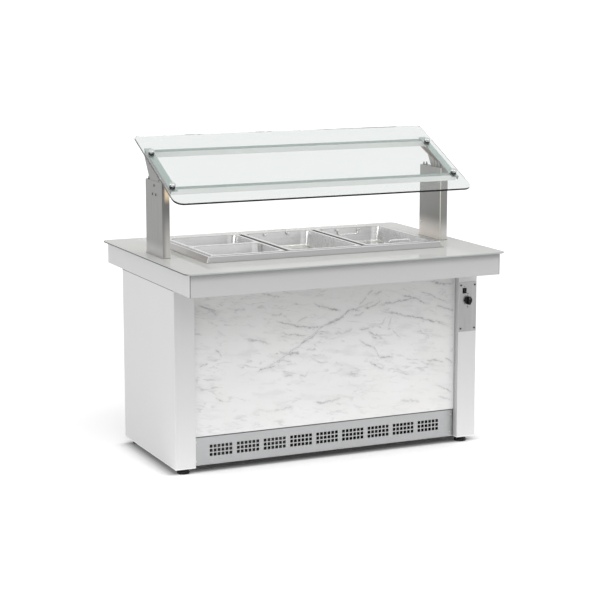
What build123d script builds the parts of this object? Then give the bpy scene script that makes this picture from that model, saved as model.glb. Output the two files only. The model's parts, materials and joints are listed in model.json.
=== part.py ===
from build123d import *
import math
import os

# Refrigerated buffet table, in millimetres: +X is right, -Y is the front, +Z is up.
# The origin is on the floor under the middle of the table top.

# Table top
table_height = 850.0
well_end_margin = 179.5
well_side_margin = 224.0
apron_height = 90.0
apron_board = 16.0
board_edge_radius = 1.5
plate_thickness = 6.0
plate_overhang = 20.0
plate_corner_radius = 30.0
plate_edge_radius = 1.5
deck_thickness = 12.0
pipe_hole_margin = 4.0
drain_fit = 0.6
frame_end_width = 65.0
frame_side_width = 40.0
frame_sheet = 2.0

# Cabinet
cabinet_setback = 182.0
cabinet_inset = 2.0
floor_gap = 25.0
pillar_width = 87.0
casing_sheet = 1.5
casing_base = 4.0
casing_edge_radius = 2.0
panel_recess = 32.0
panel_board = 15.0
panel_gap = 0.8
tray_sheet = 2.0
tray_flange = 30.0
ear_width = 26.0

# Air grilles
grille_height = 115.0
grille_sheet = 1.5
grille_return = 14.0
grille_setback = 2.0
grille_end_gap = 4.0
grille_top_gap = 2.0
hole_groups = 9
hole_columns = 6
hole_rows = 3
hole_size = 12.6
hole_pitch = 17.2
grille_margin = 68.7
grille_screw_inset = 9.0

# Levelling feet
foot_radius = 25.0
foot_pad_height = 12.0
foot_pad_edge = 3.6
foot_hub_radius = 15.0
foot_hub_top_radius = 12.0
foot_stem_radius = 5.0
foot_stem_length = 52.0
foot_inset_x = 47.0
foot_inset_y = 41.0
thread_clearance = 0.08
seat_gap = 0.3

# Cold well
pan_width = 325.0
pan_length = 530.0
bar_gap = 20.0
pan_depth = 65.0
pan_wall = 1.2
pan_rim = 12.5
pan_rim_thickness = 2.0
pan_rim_edge = 0.9
pan_corner_radius = 14.0
pan_body_radius = 32.0
pan_draft = 9.0
pan_bottom_radius = 10.0
half_pan_gap = 1.0
collar_height = 25.0
collar_margin_x = 15.5
collar_margin_y = 11.0
collar_spread_x = 10.0
collar_spread_y = 5.0
collar_sheet = 1.5
collar_corner_radius = 8.0
rim_overlap = 12.0
tank_wall = 1.2
tank_margin = 3.0
tank_lip = 12.0
foam_below = 17.8
plate_cut_margin = 2.5
foam_thickness = 35.0
bar_flange = 8.0
bar_groove = 10.0
bar_fit = 0.3

# Folding pan handles
handle_wire_radius = 2.5
handle_span = 96.0
handle_rise = 20.0
handle_bend = 9.0
handle_pin_bend = 3.0
handle_fit = 1.4
handle_drop = 7.0
handle_lean = 8.0
ear_radius = 4.8
ear_length = 8.0
pin_recess = 0.8
pin_clearance = 0.08

# Canopy
glass_side_overhang = 15.0
glass_length = 532.0
glass_thickness = 8.0
glass_slope = 25.2
glass_front_reach = 289.0
glass_front_drop = 65.0
glass_corner_radius = 40.0
glass_rear_radius = 16.0
post_inset = 34.5
post_width = 32.0
post_depth = 192.0
post_center_y = -4.0
post_height = 307.0
post_sheet = 1.5
post_foot = 3.0
post_lip = 25.2
cover_fit = 0.2
cover_screw_rise = 62.0
cover_screw_drop = 62.0
cover_screw_inset = 18.0
bracket_sheet = 3.0
bracket_lower = 105.0
bracket_rear_inset = 92.0
bracket_strip = 22.0
bracket_back_strip = 31.0
bracket_back_step = 15.0
bracket_tail_ahead = 56.0
bracket_tail_behind = 49.0
bracket_tail_length = 72.0
bracket_bolt_radius = 3.0
bracket_bolt_head = 5.0
bracket_head_height = 2.5
bracket_head_edge = 1.0
bracket_nut_height = 5.0
bracket_bolt_tail = 6.0
bracket_bolt_drop = 19.0
bracket_bolt_rows = 36.0
bracket_bolt_spread = 19.0
rail_width = 20.0
rail_height = 25.0
rail_sheet = 1.5
front_rail_place = 129.0
rear_rail_inset = 111.0
upper_clamp_inset = 140.0
gasket_below = 2.0
gasket_above = 1.0
gasket_radius = 12.0
clamp_radius = 12.5
clamp_height = 15.0
clamp_neck = 6.75
clamp_edge = 5.25
clamp_waist_radius = 9.0
stud_radius = 3.0
stud_clearance = 0.1
glass_hole_radius = 4.5
lamp_end_gap = 40.0
lamp_housing_height = 15.0
lamp_fit = 1.0
lamp_wire_radius = 2.2
wire_first_x = -8.0
wire_first_y = -18.0
wire_step_x = 7.0
wire_step_y = 13.0
wire_tail = 20.0
wire_under_flange = 22.0
wire_under_rail = 6.0
wire_lower_bend = 14.0
wire_upper_bend = 10.0
top_stud_radius = 3.0
top_stud_height = 12.0
top_stud_inset = 17.0
top_stud_tail = 8.0
top_nut_radius = 5.4
top_nut_height = 4.0
top_stud_spacing = 14.0
anchor_radius = 4.0
anchor_inset = 41.0
anchor_head = 6.5
anchor_head_height = 5.0
anchor_nut_height = 6.0
anchor_tail = 8.0
anchor_clearance = 0.6

# Controls on the right pillar
control_margin = 2.0
control_drop = 56.0
control_height = 212.0
control_sheet = 1.5
control_screw_inset_x = 8.5
control_screw_inset_z = 13.0
switch_offset_x = -16.0
switch_drop = 36.5
bezel_width = 18.0
bezel_height = 23.0
bezel_thickness = 2.0
bezel_edge = 0.8
switch_body_width = 13.6
switch_body_height = 20.6
switch_body_depth = 24.0
switch_wall = 1.0
rocker_tilt = 8.0
rocker_side_gap = 0.2
rocker_reach = 9.5
rocker_proud = 3.0
rocker_notch = 3.5
rocker_shoulder = 4.0
rocker_root = 3.5
rocker_root_half = 3.0
rocker_pin_radius = 1.5
cutout_fit = 0.2
knob_drop = 78.5
knob_radius = 17.0
knob_height = 18.0
knob_edge = 2.2
knob_grip_depth = 9.4
knob_grip_half = 5.4
knob_gap = 0.5
knob_shaft_radius = 3.0
shaft_clearance = 0.05
bushing_radius = 4.8
bushing_reach = 2.5
thermostat_size = 40.0
thermostat_depth = 28.0

# Machine space
condenser_width = 280.0
condenser_height = 210.0
condenser_depth = 60.0
condenser_gap = 30.0
condenser_foot = 20.0
fin_count = 28
fin_sheet = 1.0
condenser_tube_radius = 5.0
condenser_tube_rows = 4
fan_radius = 95.0
fan_hub_radius = 18.0
fan_hub_length = 20.0
fan_blades = 5
fan_pitch = 28.0
fan_gap = 30.0
blade_sheet = 2.5
blade_chord = 34.0
blade_root = 12.6
fan_shaft_radius = 4.0
motor_radius = 40.0
motor_length = 65.0
motor_gap = 14.0
motor_edge = 4.8
motor_leg_half = 24.0
motor_foot_half = 52.0
motor_leg_depth = 39.0
motor_bore = 14.0
motor_bore_end = 1.0
compressor_offset = 156.0
compressor_y = 40.0
compressor_radius = 75.0
compressor_height = 150.0
compressor_edge = 33.75
compressor_foot_width = 200.0
compressor_foot_depth = 120.0
compressor_foot_sheet = 4.0
compressor_sink = 1.0
suction_rise = 82.5
mount_height = 20.0
mount_radius = 12.0
pipe_radius = 4.0
pipe_bend = 40.0
stub_length = 10.0
pipe_gap = 0.4
coil_runs = 6
coil_side_margin = 56.0
coil_end_margin = 58.5
coil_turn_flat = 0.5
trench_margin = 12.0
trench_floor = 4.0
coil_tail_radius = 16.0
pipe_tail = 24.0
drain_radius = 11.0
drain_bore = 9.0
drain_inset = 68.5
drain_length = 150.0
drain_floor = 9.0
drain_cap_radius = 16.5
drain_cap_height = 22.5
gland_radius = 10.0
gland_chamfer = 3.0
gland_thread_radius = 7.0
gland_tail = 11.0
gland_bore = 4.5
gland_length = 22.0
gland_z = 150.0

# Small screws shared by covers, grilles and the control plate
screw_head_radius = 4.0
screw_head_height = 2.0
screw_head_edge = 0.9
screw_shank_radius = 1.9
screw_shank_length = 6.0
screw_hole_clearance = 0.1

# How far a cutting solid runs past a face
cut_margin = 1.0

# Places worked out from the sizes above
column_pitch = pan_width + bar_gap
pans_half_x = 1.5 * pan_width + bar_gap
pans_half_y = pan_length / 2
half_width = pans_half_x + well_end_margin
half_depth = pans_half_y + well_side_margin
plate_bottom = table_height - plate_thickness
apron_bottom = plate_bottom - apron_height
deck_top = apron_bottom + deck_thickness
inner_half_width = half_width - apron_board
inner_half_depth = half_depth - apron_board
cabinet_half = half_width - cabinet_inset
pillar_inner = cabinet_half - pillar_width
pillar_middle = cabinet_half - pillar_width / 2
cabinet_half_depth = half_depth - cabinet_setback
cabinet_front = -cabinet_half_depth
panel_front = cabinet_front + panel_recess
panel_bottom = floor_gap + grille_height + grille_top_gap
grille_front = panel_front + grille_setback
grille_half = pillar_inner - grille_end_gap
group_width = (hole_columns - 1) * hole_pitch + hole_size
group_pitch = (2 * (grille_half - grille_margin) - group_width) / (hole_groups - 1)
tray_top = floor_gap + tray_sheet
tray_front = grille_front + grille_sheet

collar_top = table_height + collar_height
collar_half_x = pans_half_x + collar_margin_x
collar_half_y = pans_half_y + collar_margin_y
mouth_half_x = pans_half_x - rim_overlap
mouth_half_y = pans_half_y - rim_overlap
tank_half_x = mouth_half_x + tank_margin
tank_half_y = mouth_half_y + tank_margin
lip_top = collar_top - collar_sheet
tank_bottom = deck_top + foam_below
tank_floor = tank_bottom + tank_wall
pan_seat = collar_top + seat_gap
handle_hang = handle_drop + handle_rise + handle_wire_radius
handle_wall_gap = handle_hang * pan_draft / pan_depth + handle_wire_radius + handle_fit
handle_pin = handle_wire_radius + seat_gap + ear_length - pin_recess

post_outer = half_width - post_inset
post_inner = post_outer - post_width
post_middle = (post_outer + post_inner) / 2
post_top = table_height + post_height
post_back = post_center_y + post_depth / 2
web_outer = post_outer - post_sheet
web_inner = web_outer - bracket_sheet
anchor_half = post_depth / 2 - anchor_inset
glass_width = 2 * (post_outer + glass_side_overhang)
glass_front_y = post_center_y - glass_front_reach
glass_front_z = post_top - glass_front_drop
bracket_upper = glass_length - bracket_rear_inset
bracket_tail_front = post_center_y - bracket_tail_ahead
bracket_tail_back = post_center_y + bracket_tail_behind
rear_rail_place = glass_length - rear_rail_inset
clamp_places = (front_rail_place, glass_length - upper_clamp_inset)
slope_cos = math.cos(math.radians(glass_slope))
slope_sin = math.sin(math.radians(glass_slope))
flange_top = glass_thickness / 2 + gasket_below
rail_top = flange_top + bracket_sheet
canopy = Plane(origin=(0, glass_front_y, glass_front_z), x_dir=(1, 0, 0), z_dir=(0, -slope_sin, slope_cos))

control_top = apron_bottom - control_drop
control_bottom = control_top - control_height
control_half = pillar_width / 2 - control_margin
switch_z = control_top - switch_drop
knob_z = control_top - knob_drop
plate_face = cabinet_front - control_sheet
switch_x = pillar_middle + switch_offset_x
bezel_face = plate_face - bezel_thickness
rocker_pivot_y = bezel_face + rocker_reach - rocker_proud
coil_half_length = tank_half_x - coil_end_margin
coil_x = coil_half_length + coil_tail_radius
coil_half_y = tank_half_y - coil_side_margin
coil_pitch = 2 * coil_half_y / (coil_runs - 1)
drain_x = drain_inset - tank_half_x
drain_y = coil_pitch
pipe_joint_z = apron_bottom - pipe_tail
condenser_y = panel_front + panel_board + condenser_gap + condenser_depth / 2
machine_low = tray_top + mount_height
fan_y = condenser_y + condenser_depth / 2 + fan_gap
fan_z = machine_low + condenser_height / 2
compressor_x = coil_x - compressor_offset


def block(x_span, y_span, z_span):
    """Return a box between a low and a high value on each axis."""
    spans = (x_span, y_span, z_span)
    center = [(low + high) / 2 for low, high in spans]
    size = [high - low for low, high in spans]
    return Pos(*center) * Box(*size)


def about(middle, half):
    """Return the span that reaches half each side of a middle value."""
    return (middle - half, middle + half)


def rod_x(y, z, x_span, radius):
    """Return a round bar along X."""
    low, high = x_span
    return Pos((low + high) / 2, y, z) * Rot(0, 90, 0) * Cylinder(radius, high - low)


def rod_y(x, z, y_span, radius):
    """Return a round bar along Y."""
    low, high = y_span
    return Pos(x, (low + high) / 2, z) * Rot(90, 0, 0) * Cylinder(radius, high - low)


def rod_z(x, y, z_span, radius):
    """Return an upright round bar."""
    low, high = z_span
    return Pos(x, y, (low + high) / 2) * Cylinder(radius, high - low)


def slab(half_x, half_y, radius, z_span):
    """Return a flat plate with rounded corners, centred on the origin in plan."""
    low, high = z_span
    return Pos(0, 0, low) * extrude(RectangleRounded(2 * half_x, 2 * half_y, radius), high - low)


def bent_tube(points, bend, radius):
    """Return a round tube along straight runs joined by arcs."""
    path = FilletPolyline(*points, radius=bend)
    return sweep(Plane(origin=path @ 0, z_dir=path % 0) * Circle(radius), path=path)


def left_of(part):
    """Return the mirror image of a right-hand piece."""
    return mirror(part, about=Plane.YZ)


def rear_of(part):
    """Return the mirror image of a front piece."""
    return mirror(part, about=Plane.XZ)


def upright_edges(part, x, y):
    """Return the upright edges of a part that stand on the given corner distances."""
    return [
        edge
        for edge in part.edges().filter_by(Axis.Z)
        if abs(abs(edge.center().X) - x) < 0.01 and abs(abs(edge.center().Y) - y) < 0.01
    ]


def screw(reach):
    """Return a pan-head screw whose head seats on the plane z = 0, with its shank below."""
    head = Pos(0, 0, screw_head_height / 2) * Cylinder(screw_head_radius, screw_head_height)
    head = fillet(head.edges().group_by(Axis.Z)[-1], screw_head_edge)
    return head + Pos(0, 0, -reach / 2) * Cylinder(screw_shank_radius, reach)


def build_top():
    """Return the aprons, deck, frame and glass plate of the table top."""
    height = (apron_bottom, plate_bottom)
    front = block(about(0, half_width), (-half_depth, -inner_half_depth), height)
    front = fillet(upright_edges(front, half_width, half_depth), board_edge_radius)
    right = block((inner_half_width, half_width), about(0, inner_half_depth), height)

    anchors = [(post_middle, post_center_y + side * anchor_half) for side in (-1, 1)]
    anchors += [(-x, y) for x, y in anchors]
    bolt_holes = [rod_z(x, y, (deck_top, table_height), anchor_radius + anchor_clearance) for x, y in anchors]

    frame_height = (deck_top, plate_bottom)
    frame = block(about(0, inner_half_width), about(0, inner_half_depth), frame_height)
    mouth_x = inner_half_width - frame_end_width
    mouth_y = inner_half_depth - frame_side_width
    frame -= block(about(0, mouth_x), about(0, mouth_y), frame_height)
    frame -= block(
        about(0, inner_half_width - frame_sheet),
        about(0, inner_half_depth - frame_sheet),
        (deck_top + frame_sheet, plate_bottom - frame_sheet),
    )

    deck = block(about(0, inner_half_width), about(0, inner_half_depth), (apron_bottom, deck_top))
    for side in (-1, 1):
        deck -= rod_z(coil_x, side * coil_half_y, (apron_bottom, deck_top), pipe_radius + pipe_hole_margin)
    deck -= rod_z(drain_x, drain_y, (apron_bottom, deck_top), drain_radius + drain_fit)

    plate = slab(
        half_width + plate_overhang,
        half_depth + plate_overhang,
        plate_corner_radius,
        (plate_bottom, table_height),
    )
    plate = fillet(plate.edges().group_by(Axis.Z)[-1] + plate.edges().group_by(Axis.Z)[0], plate_edge_radius)
    cut_x = tank_half_x + tank_wall + plate_cut_margin
    cut_y = tank_half_y + tank_wall + plate_cut_margin
    plate -= block(about(0, cut_x), about(0, cut_y), (plate_bottom, table_height))
    for hole in bolt_holes:
        frame -= hole
        plate -= hole
    return {
        "apron_front": front,
        "apron_rear": rear_of(front),
        "apron_left": left_of(right),
        "apron_right": right,
        "deck_board": deck,
        "top_frame": frame,
        "top_plate": plate,
    }


def casing():
    """Return the right side casing, a deep folded box that is open at its top."""
    height = (floor_gap, apron_bottom)
    shell = block((pillar_inner, cabinet_half), about(0, cabinet_half_depth), height)
    shell = fillet(shell.edges().filter_by(Axis.Z), casing_edge_radius)
    shell -= block(
        (pillar_inner + casing_sheet, cabinet_half - casing_sheet),
        about(0, cabinet_half_depth - casing_sheet),
        (floor_gap + casing_base, apron_bottom),
    )
    for side in (-1, 1):
        x, y = cabinet_half - foot_inset_x, side * (cabinet_half_depth - foot_inset_y)
        shell -= rod_z(x, y, (floor_gap, floor_gap + casing_base), foot_stem_radius + thread_clearance)
    return shell


def build_cabinet():
    """Return the side casings, panels, base tray and power gland."""
    right = casing()
    left = left_of(right)
    wall = (cabinet_front - cut_margin, cabinet_front + casing_sheet + cut_margin)
    right -= block(
        about(switch_x, switch_body_width / 2 + cutout_fit),
        wall,
        about(switch_z, switch_body_height / 2 + cutout_fit),
    )
    right -= rod_y(pillar_middle, knob_z, wall, bushing_radius + cutout_fit)
    for x, z in control_screws():
        right -= rod_y(x, z, wall, screw_shank_radius + screw_hole_clearance)
    rear = cabinet_half_depth
    rear_wall = (rear - casing_sheet - cut_margin, rear + cut_margin)
    right -= rod_y(pillar_middle, gland_z, rear_wall, gland_thread_radius + cutout_fit)
    gland = rod_y(pillar_middle, gland_z, (rear, rear + gland_length), gland_radius)
    gland = chamfer(gland.faces().sort_by(Axis.Y)[-1].edges(), gland_chamfer)
    gland += rod_y(pillar_middle, gland_z, (rear - gland_tail, rear), gland_thread_radius)
    gland -= rod_y(pillar_middle, gland_z, (rear - gland_tail, rear + gland_length), gland_bore)

    panel = block(
        about(0, pillar_inner - panel_gap),
        (panel_front, panel_front + panel_board),
        (panel_bottom, apron_bottom),
    )

    flange_top_z = tray_top + tray_flange
    half_x = pillar_inner - seat_gap
    tray = block(about(0, half_x), about(0, -tray_front), (floor_gap, flange_top_z))
    tray -= block(
        about(0, half_x - tray_sheet), about(0, -tray_front - tray_sheet), (tray_top, flange_top_z)
    )
    for side_x in (-1, 1):
        for side_y in (-1, 1):
            x_edges = sorted((side_x * half_x, side_x * (half_x - ear_width)))
            y_edges = sorted((side_y * -tray_front, side_y * (-tray_front - tray_sheet)))
            tray += block(x_edges, y_edges, (floor_gap, floor_gap + grille_height))
    for x, z in grille_screws():
        tray -= rod_y(x, z, about(0, -tray_front + cut_margin), screw_shank_radius + screw_hole_clearance)
    return {
        "base_tray": tray,
        "left_side_casing": left,
        "right_side_casing": right,
        "front_panel": panel,
        "rear_panel": rear_of(panel),
        "power_gland": gland,
    }


def grille_screws():
    """Return the X and Z of the four screws of one grille."""
    x = grille_half - grille_screw_inset
    return [
        (side * x, z)
        for side in (-1, 1)
        for z in (floor_gap + 2 * grille_screw_inset, floor_gap + grille_height - 2 * grille_screw_inset)
    ]


def build_grilles():
    """Return the front and rear air grilles, with their groups of square holes."""
    middle_z = floor_gap + grille_height / 2
    face = Rectangle(2 * grille_half, grille_height)
    for group in range(hole_groups):
        center = (group - (hole_groups - 1) / 2) * group_pitch
        cells = Pos(center, 0) * GridLocations(hole_pitch, hole_pitch, hole_columns, hole_rows)
        face -= [cell * Rectangle(hole_size, hole_size) for cell in cells]
    face -= [
        Pos(x, z - middle_z) * Circle(screw_shank_radius + screw_hole_clearance) for x, z in grille_screws()
    ]
    sheet = extrude(Plane.XZ * face, -grille_sheet)
    grille = Pos(0, grille_front, middle_z) * sheet
    clear_x = pillar_inner - ear_width - 2 * grille_end_gap
    top = floor_gap + grille_height
    return_y = (grille_front, grille_front + grille_return)
    grille += block(about(0, clear_x), return_y, (top - grille_sheet, top))
    return {"front_grille": grille, "rear_grille": rear_of(grille)}


def build_feet():
    """Return the four levelling feet: pad, hub and threaded stem."""
    hub_top = floor_gap - seat_gap
    pad = Pos(0, 0, foot_pad_height / 2) * Cylinder(foot_radius, foot_pad_height)
    pad = fillet(pad.edges().group_by(Axis.Z)[-1], foot_pad_edge)
    hub_height = hub_top - foot_pad_height
    hub = Pos(0, 0, foot_pad_height + hub_height / 2) * Cone(foot_hub_radius, foot_hub_top_radius, hub_height)
    stem = rod_z(0, 0, (hub_top, hub_top + foot_stem_length), foot_stem_radius)
    foot = pad + hub + stem
    x, y = cabinet_half - foot_inset_x, cabinet_half_depth - foot_inset_y
    return {
        "foot_front_left": Pos(-x, -y, 0) * foot,
        "foot_front_right": Pos(x, -y, 0) * foot,
        "foot_rear_left": Pos(-x, y, 0) * foot,
        "foot_rear_right": Pos(x, y, 0) * foot,
    }


def build_well():
    """Return the collar, tank, foam, coil, divider bars and drain of the cold well."""
    base = Pos(0, 0, table_height) * RectangleRounded(
        2 * (collar_half_x + collar_spread_x), 2 * (collar_half_y + collar_spread_y), collar_corner_radius
    )
    top = Pos(0, 0, collar_top) * RectangleRounded(2 * collar_half_x, 2 * collar_half_y, collar_corner_radius)
    collar = loft([base, top])
    collar = fillet(collar.edges().group_by(Axis.Z)[-1], collar_sheet)
    inside_radius = collar_corner_radius - collar_sheet
    base_inside = Pos(0, 0, table_height) * RectangleRounded(
        2 * (collar_half_x + collar_spread_x - collar_sheet),
        2 * (collar_half_y + collar_spread_y - collar_sheet),
        inside_radius,
    )
    top_inside = Pos(0, 0, lip_top) * RectangleRounded(
        2 * (collar_half_x - collar_sheet), 2 * (collar_half_y - collar_sheet), inside_radius
    )
    collar -= loft([base_inside, top_inside])
    collar -= block(about(0, mouth_half_x), about(0, mouth_half_y), (table_height, collar_top + cut_margin))

    bar_end = tank_half_y + tank_wall + bar_flange
    bar_half = bar_gap / 2 + bar_flange
    bars = []
    for side in (-1, 1):
        x = side * column_pitch / 2
        collar -= block(
            about(x, bar_half + bar_fit), about(0, bar_end + bar_fit), (lip_top, collar_top + cut_margin)
        )
        bar = block(about(x, bar_half), about(0, bar_end), (lip_top, collar_top))
        groove_half = mouth_half_y
        groove_bottom = collar_top - bar_groove
        bar += block(about(x, bar_gap / 2), about(0, groove_half), (groove_bottom, collar_top))
        bar -= block(
            about(x, bar_gap / 2 - collar_sheet),
            about(0, groove_half - collar_sheet),
            (groove_bottom + collar_sheet, collar_top),
        )
        bars.append(bar)

    outer_x, outer_y = tank_half_x + tank_wall, tank_half_y + tank_wall
    tank = block(about(0, outer_x), about(0, outer_y), (tank_bottom, lip_top))
    tank += block(about(0, outer_x + tank_lip), about(0, outer_y + tank_lip), (lip_top - tank_wall, lip_top))
    tank -= block(about(0, tank_half_x), about(0, tank_half_y), (tank_floor, lip_top))
    tank -= rod_z(drain_x, drain_y, (tank_bottom, tank_floor), drain_bore)

    foam = block(
        about(0, outer_x + foam_thickness), about(0, outer_y + foam_thickness), (deck_top, plate_bottom)
    )
    foam -= block(about(0, outer_x), about(0, outer_y), (tank_bottom, plate_bottom))
    coil_z = tank_bottom - seat_gap - pipe_radius
    trench_z = (coil_z - pipe_radius - trench_floor, tank_bottom)
    foam -= block(about(0, coil_x + trench_margin), about(0, coil_half_y + trench_margin), trench_z)
    for side in (-1, 1):
        foam -= rod_z(coil_x, side * coil_half_y, (deck_top, coil_z), pipe_radius + pipe_hole_margin)
    foam -= rod_z(drain_x, drain_y, (deck_top, tank_bottom), drain_radius + drain_fit)

    points = [(coil_x, -coil_half_y, pipe_joint_z), (coil_x, -coil_half_y, coil_z)]
    for run in range(coil_runs):
        y = -coil_half_y + run * coil_pitch
        far = -coil_half_length if run % 2 == 0 else coil_half_length - coil_pitch
        if run < coil_runs - 1:
            points += [(far, y, coil_z), (far, y + coil_pitch, coil_z)]
    points += [(coil_x, coil_half_y, coil_z), (coil_x, coil_half_y, pipe_joint_z)]
    turn = coil_pitch / 2 - coil_turn_flat
    bends = [coil_tail_radius] + [turn] * (2 * (coil_runs - 1)) + [coil_tail_radius]
    coil = bent_tube(points, bends, pipe_radius)

    drain_end = tank_bottom - drain_length
    drain = rod_z(drain_x, drain_y, (drain_end, tank_bottom), drain_radius)
    drain += rod_z(drain_x, drain_y, (drain_end, drain_end + drain_cap_height), drain_cap_radius)
    drain -= rod_z(drain_x, drain_y, (drain_end + drain_floor, tank_bottom), drain_bore)
    return {
        "well_collar": collar,
        "well_tank": tank,
        "well_insulation": foam,
        "evaporator_coil": coil,
        "divider_bars": Compound(bars),
        "drain_pipe": drain,
    }


def make_pan(x, y, length, handle_ends):
    """Return one lift-out pan: flat rim, drafted body and the ears of its handles."""
    body_x, body_y = pan_width - 2 * pan_rim, length - 2 * pan_rim
    bottom = pan_seat - pan_depth

    def body(shrink, floor, ceiling):
        upper = Pos(x, y, ceiling) * RectangleRounded(
            body_x - 2 * shrink, body_y - 2 * shrink, pan_body_radius - shrink
        )
        lower = Pos(x, y, floor) * RectangleRounded(
            body_x - 2 * (shrink + pan_draft), body_y - 2 * (shrink + pan_draft), pan_body_radius - shrink
        )
        solid = loft([upper, lower])
        return fillet(solid.edges().group_by(Axis.Z)[0], pan_bottom_radius - shrink)

    rim_outline = RectangleRounded(pan_width, length, pan_corner_radius)
    rim = Pos(x, y, pan_seat) * extrude(rim_outline, pan_rim_thickness)
    rim = fillet(rim.edges().group_by(Axis.Z)[-1], pan_rim_edge)
    pan = rim + body(0, bottom, pan_seat)
    pan -= body(pan_wall, bottom + pan_wall, pan_seat)
    pan -= Pos(x, y, pan_seat) * extrude(
        RectangleRounded(body_x - 2 * pan_wall, body_y - 2 * pan_wall, pan_body_radius - pan_wall),
        pan_rim_thickness,
    )
    for end in handle_ends:
        axis_y, axis_z = handle_axis(y, length, end)
        wall_y = y + end * (body_y / 2 - pan_wall / 2)
        for side in (-1, 1):
            ear_x = x + side * (handle_span / 2 + handle_wire_radius + seat_gap + ear_length / 2)
            ear = rod_x(axis_y, axis_z, about(ear_x, ear_length / 2), ear_radius)
            ear += block(
                about(ear_x, ear_length / 2), sorted((axis_y, wall_y)), (axis_z, axis_z + ear_radius)
            )
            ear -= rod_x(
                axis_y, axis_z, about(ear_x, ear_length / 2), handle_wire_radius + pin_clearance
            )
            pan += ear
    return pan


def handle_axis(y, length, end):
    """Return the Y and Z of a handle's hinge line at one end of a pan."""
    return y + end * (length / 2 - pan_rim - pan_wall - handle_wall_gap), pan_seat - handle_drop


def make_handle(x, axis_y, axis_z, angle):
    """Return a folding wire handle turned by an angle about its hinge line, 0 being upright."""
    half = handle_span / 2
    points = [
        (-half - handle_pin, 0, 0),
        (-half, 0, 0),
        (-half, 0, handle_rise),
        (half, 0, handle_rise),
        (half, 0, 0),
        (half + handle_pin, 0, 0),
    ]
    bends = [handle_pin_bend, handle_bend, handle_bend, handle_pin_bend]
    wire = bent_tube(points, bends, handle_wire_radius)
    return Pos(x, axis_y, axis_z) * Rot(angle, 0, 0) * wire


def build_pans():
    """Return the four pans and the handles of the two full-size ones."""
    half_length = pan_length / 2 - half_pan_gap / 2
    half_y = pan_length / 4 + half_pan_gap / 4
    nodes = {
        "pan_left_front": make_pan(-column_pitch, -half_y, half_length, ()),
        "pan_left_rear": make_pan(-column_pitch, half_y, half_length, ()),
        "pan_center": make_pan(0, 0, pan_length, (-1, 1)),
        "pan_right": make_pan(column_pitch, 0, pan_length, (-1, 1)),
    }
    folded = 180.0
    for name, x, end, angle in (
        ("handle_center_front", 0, -1, folded),
        ("handle_center_rear", 0, 1, -handle_lean),
        ("handle_right_front", column_pitch, -1, handle_lean),
        ("handle_right_rear", column_pitch, 1, folded),
    ):
        axis_y, axis_z = handle_axis(0, pan_length, end)
        nodes[name] = make_handle(x, axis_y, axis_z, angle)
    return nodes


def cover_screws():
    """Return the Y and Z of the four screws of one post cover."""
    return [
        (post_center_y + side * (post_depth / 2 - cover_screw_inset), z)
        for side in (-1, 1)
        for z in (table_height + cover_screw_rise, post_top - cover_screw_drop)
    ]


def bracket_bolt_places():
    """Return the Y and Z of the three bolts that hold a bracket to its post."""
    middle_y = (bracket_tail_front + bracket_tail_back) / 2
    upper_z = post_top - bracket_bolt_drop
    lower_z = upper_z - bracket_bolt_rows
    spread = bracket_bolt_spread
    return [(middle_y, upper_z), (middle_y + spread, lower_z), (middle_y - spread, lower_z)]


def slope_point(along, below):
    """Return the Y and Z of a point on the canopy: distance up the slope and depth under its middle plane."""
    y = glass_front_y + along * slope_cos + below * slope_sin
    z = glass_front_z + along * slope_sin - below * slope_cos
    return (y, z)


def on_canopy(x_span, along_span, below_span):
    """Return a box laid along the canopy's slope."""
    below_low, below_high = below_span
    return canopy * block(x_span, along_span, (-below_high, -below_low))


def make_post():
    """Return the right post: a folded channel, open to the inside, with a foot plate and lips."""
    post = block((post_inner, post_outer), about(post_center_y, post_depth / 2), (table_height, post_top))
    outer_edges = [edge for edge in post.edges().filter_by(Axis.Z) if edge.center().X > post_middle]
    post = fillet(outer_edges, post_sheet)
    post -= block(
        (post_inner, web_outer),
        about(post_center_y, post_depth / 2 - post_sheet),
        (table_height + post_foot, post_top - post_sheet),
    )
    lip_x = (post_inner + post_sheet, post_inner + 2 * post_sheet)
    for side in (-1, 1):
        edge = post_center_y + side * (post_depth / 2 - post_sheet)
        post += block(
            lip_x, sorted((edge, edge - side * post_lip)), (table_height + post_foot, post_top - post_sheet)
        )
    for y, z in cover_screws():
        post -= rod_x(y, z, lip_x, screw_shank_radius + screw_hole_clearance)
    bolt_wall = (web_outer - cut_margin, post_outer + cut_margin)
    for y, z in bracket_bolt_places():
        post -= rod_x(y, z, bolt_wall, bracket_bolt_radius + screw_hole_clearance)
    post -= block(
        (web_inner - cover_fit, web_outer),
        (bracket_tail_front - cover_fit, bracket_tail_back + cover_fit),
        (post_top - post_sheet, post_top),
    )
    for side in (-1, 1):
        y = post_center_y + side * anchor_half
        foot_z = (table_height, table_height + post_foot)
        post -= rod_z(post_middle, y, foot_z, anchor_radius + anchor_clearance)
    for x, y in top_studs():
        post -= rod_z(x, y, (post_top - post_sheet, post_top), top_stud_radius + screw_hole_clearance)
    return post


def wire_starts():
    """Return the X and Y where the three lamp wires leave the top of the right post."""
    x, y = post_middle + wire_first_x, post_center_y + wire_first_y
    return [(x + wire_step_x * wire, y - wire_step_y * wire) for wire in range(3)]


def top_studs():
    """Return the X and Y of the two studs on top of the right post."""
    y = post_back - top_stud_inset
    return [(post_middle + side * top_stud_spacing / 2, y) for side in (-1, 1)]


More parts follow.
